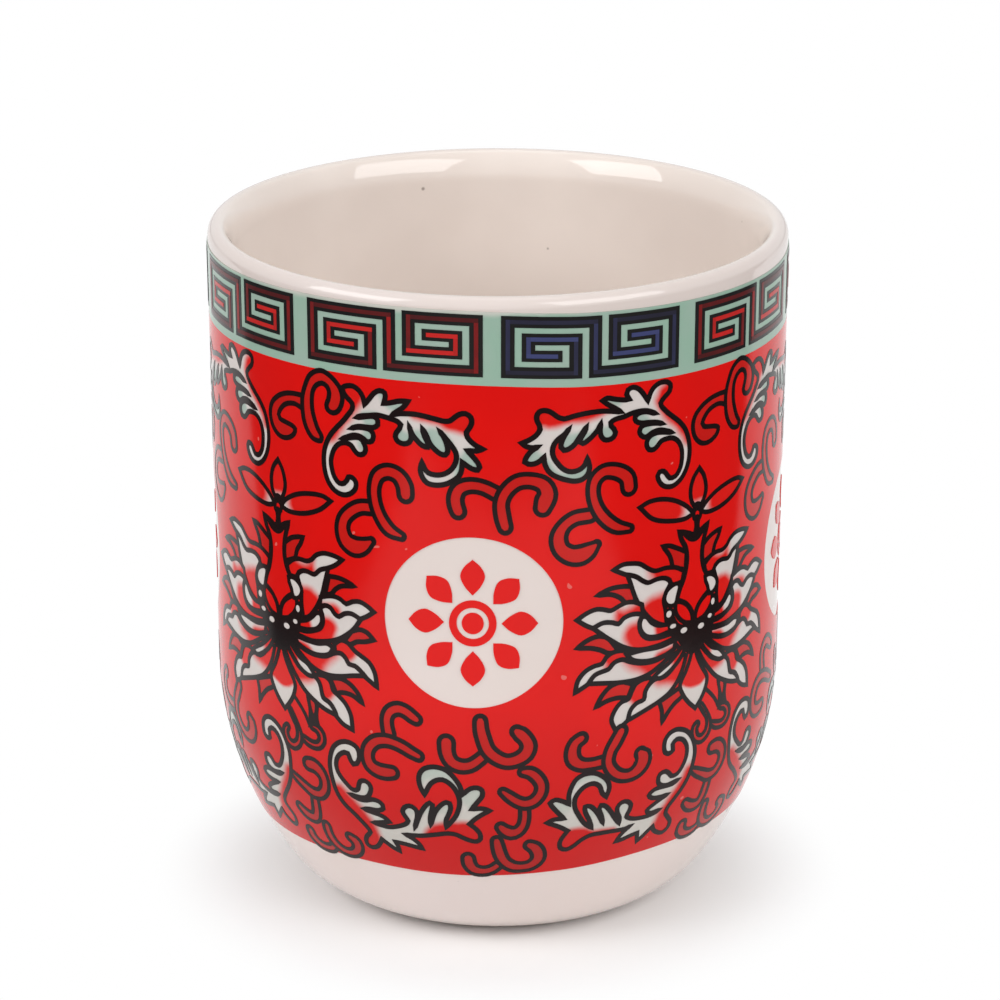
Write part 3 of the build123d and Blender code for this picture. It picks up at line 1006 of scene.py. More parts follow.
right_petals = [
    ([[10.5, 31.8], (9.2, 31.5), (7.75, 31.5), (6.6, 32.0), (5.9, 32.7), (5.1, 33.05),
      (3.95, 33.05), (3.0, 33.3), [1.8, 34.2], [2.1, 35.5], (3.4, 35.4), (3.8, 34.75),
      (4.5, 34.4), (5.3, 34.35), (6.3, 34.45), (7.2, 33.7), (8.2, 33.3), (9.4, 32.7)],
     [([(6.2, 32.4), (6.3, 33.2), (6.6, 35.5), (0, 36), (0, 32.5), (5, 33.4)], 0.9)]),
    ([[8.45, 33.2], (7.2, 33.7), (6.3, 34.45), (5.3, 34.35), (4.5, 34.4), (3.6, 35.1),
      (3.9, 36.2), (4.15, 37.2), (4.15, 38.6), [4.4, 40.4], (5.4, 39.9), (6.2, 39.0),
      (6.9, 37.9), (7.5, 36.5), (7.95, 34.9)],
     [([(3.0, 36.4), (4.5, 36.4), (5.7, 36.3), (6.4, 36.7), (7.1, 37.6), (7.0, 42),
        (3, 42)], 0.8)]),
    ([[14.65, 37.6], (13.8, 37.0), (12.75, 36.6), (11.7, 36.8), (10.9, 37.2), (10.2, 36.8),
      (9.3, 36.6), (8.4, 36.7), [7.2, 37.1], [7.0, 38.4], (7.85, 38.0), (8.6, 38.1),
      (9.3, 38.8), (9.85, 39.0), (10.6, 38.5), (11.6, 38.3), [12.75, 38.8], (13.7, 38.3)],
     [([(10.2, 38.8), (10.0, 38.0), (9.2, 37.6), (8.0, 37.7), (6, 38), (6, 40),
        (10, 40)], 0.7)]),
    ([[12.9, 38.8], (11.6, 38.3), (10.6, 38.5), (9.85, 39.0), (9.3, 38.8), (8.6, 38.1),
      (7.85, 38.0), (7.15, 38.5), (7.4, 39.2), (7.5, 40.1), (7.1, 41.0), (6.2, 41.5),
      (4.8, 41.95), [3.4, 42.0], [3.4, 42.7], (5.7, 42.9), (7.3, 42.65), (8.75, 42.25),
      (10.0, 41.7), (11.0, 41.0), (11.9, 40.2)],
     [([(7.0, 39.6), (8.4, 39.4), (9.1, 39.7), (9.5, 40.5), (9.3, 41.3), (9.0, 42.4),
        (8, 44), (2, 44), (2, 41)], 0.7)]),
    ([(7.0, 39.1), (6.5, 39.2), (5.8, 39.9), (4.9, 40.5), [3.6, 40.9], [3.6, 41.8],
      (5.4, 41.6), (6.7, 41.1), (7.3, 40.3), (7.3, 39.5)],
     [([(5.4, 39), (5.5, 40.4), (5.8, 42), (2, 42), (2, 39)], 0.5)]),
    ([[14.95, 47.0], (14.65, 45.2), (13.95, 44.05), (12.9, 43.4), (12.0, 42.9), (11.1, 42.1),
      (10.1, 41.9), [9.1, 42.6], [9.2, 43.7], (10.1, 43.6), (10.75, 44.1), (11.15, 44.7),
      (12.0, 44.8), (12.9, 45.4), [13.3, 45.9]],
     [([(11.2, 44.4), (11.9, 43.9), (12.2, 43.3), (12.4, 42.3), (9, 41), (8, 44),
        (10, 45)], 0.6)]),
    ([[13.4, 45.8], (12.75, 45.3), (12.0, 44.8), (11.15, 44.7), (10.75, 44.1), (10.1, 43.6),
      (9.2, 43.7), (7.8, 44.4), (6.2, 44.6), (4.7, 44.4), [3.2, 43.9], [2.7, 44.0],
      (3.6, 44.8), (4.6, 45.55), (5.7, 46.2), (7.0, 46.6), (8.4, 46.7), (10.2, 46.45),
      (11.6, 46.1)],
     [([(9.8, 43.3), (9.3, 44.2), (8.6, 45.0), (7.9, 45.8), (7.1, 46.8), (0, 46.8),
        (0, 42.8), (9, 42.8)], 1.1)]),
    ([[8.9, 43.1], (8.1, 42.75), (6.6, 43.05), (4.8, 43.05), [3.0, 42.9], [3.3, 43.8],
      (4.8, 44.3), (6.25, 44.5), (7.7, 44.3), (8.5, 43.9)],
     [([(5.9, 44.4), (5.3, 43.7), (4.4, 43.4), (3, 43.4), (2, 45), (5.9, 45)], 0.5)]),
    ([[11.55, 53.0], (11.3, 51.1), (10.55, 49.8), (9.55, 49.0), (8.8, 48.5), (8.45, 47.5),
      (7.7, 47.0), [6.5, 47.0], [6.1, 47.4], (6.8, 48.1), (7.1, 49.2), (7.4, 49.8),
      (8.3, 50.2), (8.95, 51.0), [9.2, 51.7], (10.2, 52.5)],
     [([(9.2, 48.5), (8.8, 49.3), (8, 50), (5, 49), (5, 46), (9, 46)], 0.6)]),
    ([[9.3, 51.6], (8.9, 50.9), (8.2, 50.2), (7.3, 49.8), (7.1, 49.2), (6.8, 48.1),
      (6.1, 47.4), (5.0, 47.3), (3.7, 46.9), (2.6, 45.9), [1.5, 44.7], [1.0, 45.1],
      (2.0, 46.8), (3.1, 48.2), (4.4, 49.5), (6.0, 50.5), (7.6, 51.2)],
     [([(6.3, 47.0), (5.8, 47.9), (5.0, 48.4), (4.0, 48.6), (2.4, 48.6), (0, 48),
        (0, 44), (5, 46)], 0.9)]),
    ([[6.2, 47.3], (4.9, 46.0), (3.75, 45.55), (2.5, 44.5), [1.7, 43.6], [1.5, 44.4],
      (2.6, 45.8), (3.8, 46.9), (5.1, 47.45)],
     [([(3.2, 44.6), (3.2, 46.4), (1, 46), (1, 43)], 0.5)]),
]


# The middle of the flower where its left half was drawn, right of the front, and where its
# right half was, left of the front
left_axis, right_axis = 25.3, -29.68
vase_half = 0.42
bead_half = 0.55
drop_sides = 14


def lotus(drawing):
    """The flower between two reserves."""
    left, right = placed(left_axis), placed(right_axis, sheet_width)
    # the bract and the two stalks behind it
    drawing.fill("outline", right([
        [4.5, 49.4], [6.9, 50.2], (6.6, 51.3), (6.5, 52.5), [6.8, 53.7], (5.7, 53.9),
        [4.8, 54.2], (4.9, 52.9), (4.9, 51.6), (4.6, 50.4),
    ]))
    drawing.fill("tendril", right([
        (5.3, 50.5), (5.85, 50.7), (5.95, 51.5), (5.75, 52.2), (5.5, 51.6),
    ]))
    for stalk in [
        [(2.4, 50.6, 0.28), (3.4, 51.5, 0.26), (4.3, 52.5, 0.26), (5.0, 53.7, 0.26)],
        [(1.4, 52.2, 0.45), (2.1, 53.2, 0.5), (2.8, 54.2, 0.5), (3.3, 55.1, 0.4)],
    ]:
        drawing.stroke("outline", right(stalk))
    # the sprig on top, and its stem
    for outline, blush, width in [
        ([[-8.1, 25.0], (-6.8, 24.5), (-5.0, 24.5), (-3.0, 25.1), (-1.2, 26.2), [-0.2, 27.2],
          (-1.4, 27.6), (-4.0, 27.4), (-6.3, 26.7)],
         [(-2.6, 24), (-1.6, 26.6), (-2.6, 28), (-9, 28), (-9, 23)], 2.2),
        ([[9.0, 25.2], (7.9, 24.8), (6.2, 24.8), (3.8, 25.3), (2.0, 26.2), [0.9, 27.2],
          (2.2, 27.6), (4.8, 27.4), (7.3, 26.5)],
         [(3.2, 24), (2.3, 26.8), (3.2, 28), (10, 28), (10, 23)], 2.0),
        ([[0.6, 21.8], (-0.3, 22.8), (-0.75, 24.2), (-0.5, 25.8), [0.5, 26.9], (1.4, 25.9),
          (1.8, 24.6), (1.4, 22.9)],
         [(-2, 25.5), (0.5, 25.9), (3, 25.5), (3, 20), (-2, 20)], 1.6),
    ]:
        petal(drawing, left(outline), [(left(blush), width)])
    for colour, stem in [
        ("outline", [(0.4, 26.6, 0.75), (0.4, 27.6, 0.85)]),
        ("red", [(0.4, 27.3, 0.3), (0.45, 27.5, 0.3)]),
        ("outline", [(0.4, 28.0, 0.55), (0.4, 29.0, 0.45), (0.4, 30.0, 0.8)]),
    ]:
        drawing.stroke(colour, left(stem))
    lotus_half(drawing, left, left_leaves, left_petals)
    lotus_half(drawing, right, right_leaves, right_petals)
    # the lowest petal
    lowest = [
        [0.8, 52.8], (-0.4, 51.7), (-1.3, 50.5), (-1.8, 49.2), (-0.8, 47.3), (-0.1, 45.5),
        [0.1, 44.0], [0.6, 44.0], (0.9, 45.8), (1.7, 47.4), (2.75, 49.2), (2.5, 50.5), (1.8, 51.7),
    ]
    blush = [
        (-3, 48.6), (-1.4, 49.3), (-0.4, 49.8), (0.7, 50.0), (1.7, 49.8), (2.5, 49.3), (4, 48.6),
        (3, 42), (-2, 42),
    ]
    petal(drawing, right(lowest), [(right(blush), 0.7)])
    # the heart
    drawing.fill("outline", left([
        (-4.1, 38.4), (-3.2, 38.4), (-2.8, 39.6), (-1.9, 40.7), (0.2, 40.9), (2.2, 40.7),
        (3.1, 39.6), (3.3, 38.4), (4.1, 38.2), (4.15, 39.6), (3.9, 41.0), (3.5, 42.2),
        (3.2, 43.3), (2.2, 44.0), (1.2, 44.5), (0.4, 44.9), (-0.5, 44.8), (-1.5, 43.9),
        (-2.5, 42.5), (-3.5, 41.6), (-4.0, 40.0),
    ]))
    # the vase with its dark neck, and the two buds below it
    vase = smooth(left([
        [-2.3, 29.15], (-1.0, 29.6), [0.2, 30.2], (1.2, 29.6), [2.15, 29.1], (1.7, 30.3),
        (1.4, 31.5), (1.3, 32.9), (1.65, 34.4), (2.4, 35.8), [3.0, 37.3], (1.6, 38.2),
        (0.7, 39.2), [0.25, 40.4], (-0.3, 39.2), (-1.2, 38.2), [-2.5, 37.5], (-2.1, 36.3),
        (-1.55, 35.2), (-1.2, 34.0), (-1.05, 32.6), (-1.3, 31.2), (-1.9, 30.2),
    ]), True)
    drawing.paint("outline", grown(vase, vase_half))
    drawing.paint("red", grown(vase, -stroke_half))
    drawing.fill("outline", left([
        (-1.9, 29.4), (-0.6, 29.6), (0.2, 29.9), (1.0, 29.6), (1.8, 29.4), (1.1, 30.4),
        (0.2, 30.8), (-0.9, 30.5),
    ]))
    for bud in [
        [(-2.6, 37.8), (-2.75, 38.8), (-2.25, 39.8), (-1.3, 40.6), [0.0, 40.9], (-0.1, 39.9),
         (-0.6, 38.9), (-1.5, 38.1)],
        [(3.1, 37.7), (3.35, 38.8), (2.8, 39.8), (1.8, 40.6), [0.45, 40.9], (0.5, 39.9),
         (1.0, 38.9), (2.0, 38.1)],
    ]:
        petal(drawing, left(bud), colour="red")
    # the white beads and drops round the heart
    for put_in, outline in [
        (left, [(-2.45, 35.75), (-3.1, 35.8), (-3.9, 36.3), (-4.15, 37.1), (-3.75, 37.7),
                (-3.0, 37.8), (-2.7, 36.9)]),
        (right, [(2.3, 36.0), (3.0, 36.0), (3.75, 36.5), (3.95, 37.1), (3.6, 37.7),
                 (3.0, 37.9), (2.75, 37.1)]),
    ]:
        bead = smooth(put_in(outline), True)
        drawing.paint("outline", grown(bead, bead_half))
        drawing.paint("white", bead, **plain)
    for put_in, x, y, wide, high in [
        (left, -3.7, 39.05, 0.42, 0.45), (left, -3.05, 40.7, 0.5, 0.3),
        (left, -1.35, 41.6, 0.55, 0.38), (right, 3.5, 39.4, 0.35, 0.45),
        (right, 3.0, 41.15, 0.4, 0.3), (right, 1.47, 42.1, 0.55, 0.38),
    ]:
        (middle, depth), = put_in([(x, y)])
        drawing.paint("white", oval(middle, depth, wide, high, drop_sides), **plain)


# Tendrils, as points (x, y, half width to the middle of the dark line)
upper_tendrils = [
    # beside the reserve, left
    [(-15.1, 24.7, 0.75), (-16.6, 24.85, 0.75), (-17.9, 25.6, 0.75), (-18.85, 26.7, 0.78),
     (-19.1, 28.0, 0.85), (-18.6, 29.3, 1.0), (-17.4, 29.85, 1.1), (-16.3, 29.55, 0.9),
     (-15.25, 28.85, 0.4)],
    [(-11.4, 27.75, 0.4), (-12.9, 27.1, 0.7), (-14.1, 25.5, 0.7), (-14.7, 23.7, 0.68),
     (-14.75, 22.0, 0.68), (-14.2, 20.6, 0.75), (-13.0, 20.0, 0.8), (-11.7, 20.4, 0.82),
     (-10.95, 21.6, 0.88), (-10.85, 22.6, 0.85)],
    # over the reserve
    [(-0.2, 21.9, 0.75), (-1.7, 21.15, 0.72), (-3.2, 20.95, 0.75), (-4.4, 21.4, 0.8),
     (-4.9, 22.4, 0.82), (-4.85, 23.4, 0.82), (-4.6, 24.15, 0.8)],
    [(5.2, 23.75, 0.9), (5.45, 23.0, 1.05), (5.75, 22.1, 1.0), (5.3, 21.0, 0.9),
     (3.9, 20.4, 0.78), (2.3, 20.5, 0.78), (1.0, 21.6, 0.75), (0.4, 23.0, 0.75),
     (0.55, 24.8, 0.78), (0.85, 26.0, 0.72)],
    # beside the reserve, right
    [(10.9, 25.1, 0.75), (9.0, 25.3, 0.75), (7.7, 26.2, 0.75), (7.1, 27.5, 0.9),
     (7.4, 28.9, 0.95), (8.6, 29.8, 1.05), (9.9, 29.85, 1.1), (11.0, 29.3, 0.85),
     (11.7, 28.75, 0.4)],
    [(15.9, 27.35, 0.4), (14.2, 26.9, 0.7), (12.6, 25.6, 0.75), (11.6, 24.0, 0.7),
     (11.2, 22.2, 0.68), (11.5, 20.8, 0.72), (12.6, 19.95, 0.78), (14.3, 20.2, 0.85),
     (15.5, 21.1, 0.9), (15.75, 22.3, 0.88)],
]


lower_tendrils = [
    # left of the reserve
    [(-13.27, 52.7, 0.72), (-13.5, 51.6, 0.68), (-13.5, 50.6, 0.68), (-13.04, 49.75, 0.7),
     (-12.08, 49.3, 0.72), (-11.08, 49.55, 0.7), (-10.35, 50.05, 0.68), (-9.8, 50.4, 0.6)],
    [(-9.58, 55.04, 0.55), (-10.54, 54.6, 0.62), (-11.5, 54.1, 0.65), (-12.65, 53.7, 0.65),
     (-13.8, 53.56, 0.68), (-15.06, 53.9, 0.72), (-15.96, 54.85, 0.75), (-16.2, 56.0, 0.75),
     (-15.83, 57.06, 0.8), (-14.87, 57.6, 0.85), (-13.8, 57.7, 0.85), (-13.0, 57.6, 0.75)],
    # under the reserve
    [(-6.15, 53.0, 0.9), (-6.08, 54.27, 0.85), (-5.54, 55.4, 0.8), (-4.48, 55.9, 0.77),
     (-3.33, 55.77, 0.72), (-2.37, 55.13, 0.68), (-1.8, 54.6, 0.65)],
    [(-2.08, 50.1, 0.7), (-2.0, 51.2, 0.75), (-1.7, 52.4, 0.78), (-1.2, 53.7, 0.78),
     (-0.25, 54.65, 0.78), (1.0, 55.2, 0.77), (2.25, 55.0, 0.8), (3.3, 54.3, 0.85),
     (3.65, 53.3, 0.85), (3.3, 52.4, 0.8), (2.63, 51.7, 0.8), (2.25, 51.4, 0.65)],
    # between the two lower scrolls
    [(3.27, 61.7, 0.55), (3.3, 62.9, 0.58), (3.1, 64.0, 0.62), (2.5, 64.85, 0.72),
     (1.67, 65.1, 0.82), (0.8, 64.65, 0.72), (0.38, 64.2, 0.6)],
    [(3.02, 56.6, 0.5), (3.8, 56.7, 0.65), (4.65, 57.35, 0.7), (5.27, 58.5, 0.68),
     (5.13, 59.65, 0.7), (4.37, 60.6, 0.72), (3.3, 60.9, 0.7), (2.35, 60.56, 0.65),
     (1.38, 59.85, 0.6), (0.62, 59.2, 0.45)],
    [(-3.9, 69.2, 0.8), (-3.8, 70.1, 0.85), (-3.23, 71.0, 0.8), (-2.08, 71.3, 0.7),
     (-0.92, 71.0, 0.65), (-0.06, 70.3, 0.6)],
    [(-0.15, 66.3, 0.65), (0.04, 67.35, 0.75), (0.33, 68.5, 0.78), (0.9, 69.65, 0.75),
     (1.96, 70.46, 0.75), (3.3, 70.6, 0.68), (4.46, 70.3, 0.75), (5.27, 69.4, 0.85),
     (5.27, 68.4, 0.85), (4.75, 67.5, 0.8), (4.08, 67.06, 0.65)],
    # right of the reserve
    [(10.1, 52.8, 0.65), (9.36, 53.3, 0.7), (8.96, 54.4, 0.8), (9.16, 55.5, 0.85),
     (10.0, 56.16, 0.75), (11.3, 56.3, 0.66), (12.8, 56.16, 0.7)],
    [(15.2, 52.6, 0.7), (14.5, 53.8, 0.75), (13.8, 55.0, 0.7), (13.6, 56.4, 0.68),
     (14.2, 57.6, 0.7), (15.2, 58.36, 0.7), (16.5, 58.56, 0.72), (17.6, 58.1, 0.9),
     (18.24, 57.2, 1.0), (18.24, 56.3, 0.95), (17.9, 55.9, 0.7)],
    # under the flower
    [(-25.7, 55.75, 0.3), (-25.1, 56.05, 0.4), (-24.2, 56.25, 0.42), (-23.35, 56.1, 0.44),
     (-22.75, 55.4, 0.45), (-22.8, 54.6, 0.45), (-23.4, 54.0, 0.4), (-24.1, 53.85, 0.35)],
    [(-27.9, 52.6, 0.2), (-27.2, 53.6, 0.2), (-26.65, 54.6, 0.25), (-26.4, 55.6, 0.38),
     (-26.7, 56.6, 0.45), (-27.6, 57.2, 0.48), (-28.5, 56.9, 0.45), (-28.9, 56.1, 0.42),
     (-28.85, 55.4, 0.4), (-28.55, 55.05, 0.35)],
    [(-25.2, 63.86, 0.55), (-25.3, 64.9, 0.62), (-25.5, 66.0, 0.65), (-26.0, 66.9, 0.7),
     (-26.9, 67.07, 0.72), (-27.96, 66.7, 0.7), (-28.7, 66.1, 0.55)],
    [(-25.3, 59.1, 0.8), (-24.4, 59.1, 0.85), (-23.4, 59.75, 0.75), (-22.96, 60.8, 0.65),
     (-23.2, 62.07, 0.65), (-24.1, 62.96, 0.65), (-25.3, 63.05, 0.7), (-26.5, 62.5, 0.6),
     (-27.8, 61.8, 0.5), (-28.5, 61.35, 0.35)],
    [(-28.1, 69.7, 0.7), (-28.05, 70.5, 0.75), (-27.25, 71.36, 0.7), (-26.0, 71.7, 0.62),
     (-24.75, 71.45, 0.6), (-24.2, 71.0, 0.55)],
    [(-24.3, 67.7, 0.6), (-24.3, 68.7, 0.65), (-24.0, 69.9, 0.68), (-23.1, 70.9, 0.65),
     (-21.9, 71.3, 0.6), (-20.6, 71.0, 0.65), (-19.8, 70.1, 0.75), (-19.8, 69.1, 0.8),
     (-20.6, 68.5, 0.6)],
]
# the pair of curls between two scrolls, over the flower
upper_curls = [
    [[-24.6, 12.64], (-26.14, 12.7), (-27.57, 13.0), (-28.86, 13.64), (-29.86, 14.57),
     (-30.26, 15.57), (-30.2, 16.7), (-29.7, 17.7), (-28.86, 18.35), (-27.86, 18.5),
     (-26.86, 18.2), (-26.14, 17.64), (-25.95, 17.0), (-26.43, 16.7), (-27.57, 16.5),
     (-28.5, 16.3), (-28.75, 15.86), (-28.4, 15.14), (-27.7, 14.43), (-26.86, 14.05),
     (-25.86, 13.93), [-24.6, 14.3]],
    [(-22.0, 17.65), (-23.15, 17.57), (-24.0, 16.7), (-24.5, 15.57), (-24.7, 14.14),
     (-24.65, 12.7), (-24.2, 11.3), (-23.57, 10.07), (-22.7, 9.36), (-21.7, 9.07),
     (-20.7, 9.36), (-19.7, 10.07), (-19.07, 10.86), (-18.8, 11.86), (-19.0, 12.86),
     (-19.43, 13.57), (-20.14, 13.93), (-20.86, 13.7), (-21.07, 13.14), (-20.8, 12.43),
     (-20.64, 11.57), (-20.93, 10.86), (-21.64, 10.57), (-22.43, 10.93), (-23.0, 11.7),
     (-23.2, 12.7), (-23.14, 14.14), (-22.8, 15.3), (-22.36, 16.3), (-21.85, 17.1)],
]


def tendrils(drawing):
    """The red tendrils and curls with their dark outlines."""
    for spine in [*upper_tendrils, *lower_tendrils]:
        drawing.stroke("outline", level(spine), tendril_half)
        drawing.stroke("tendril", level(spine), -tendril_half)
    for outline in upper_curls:
        petal(drawing, level(outline), colour="tendril", half=leaf_half)


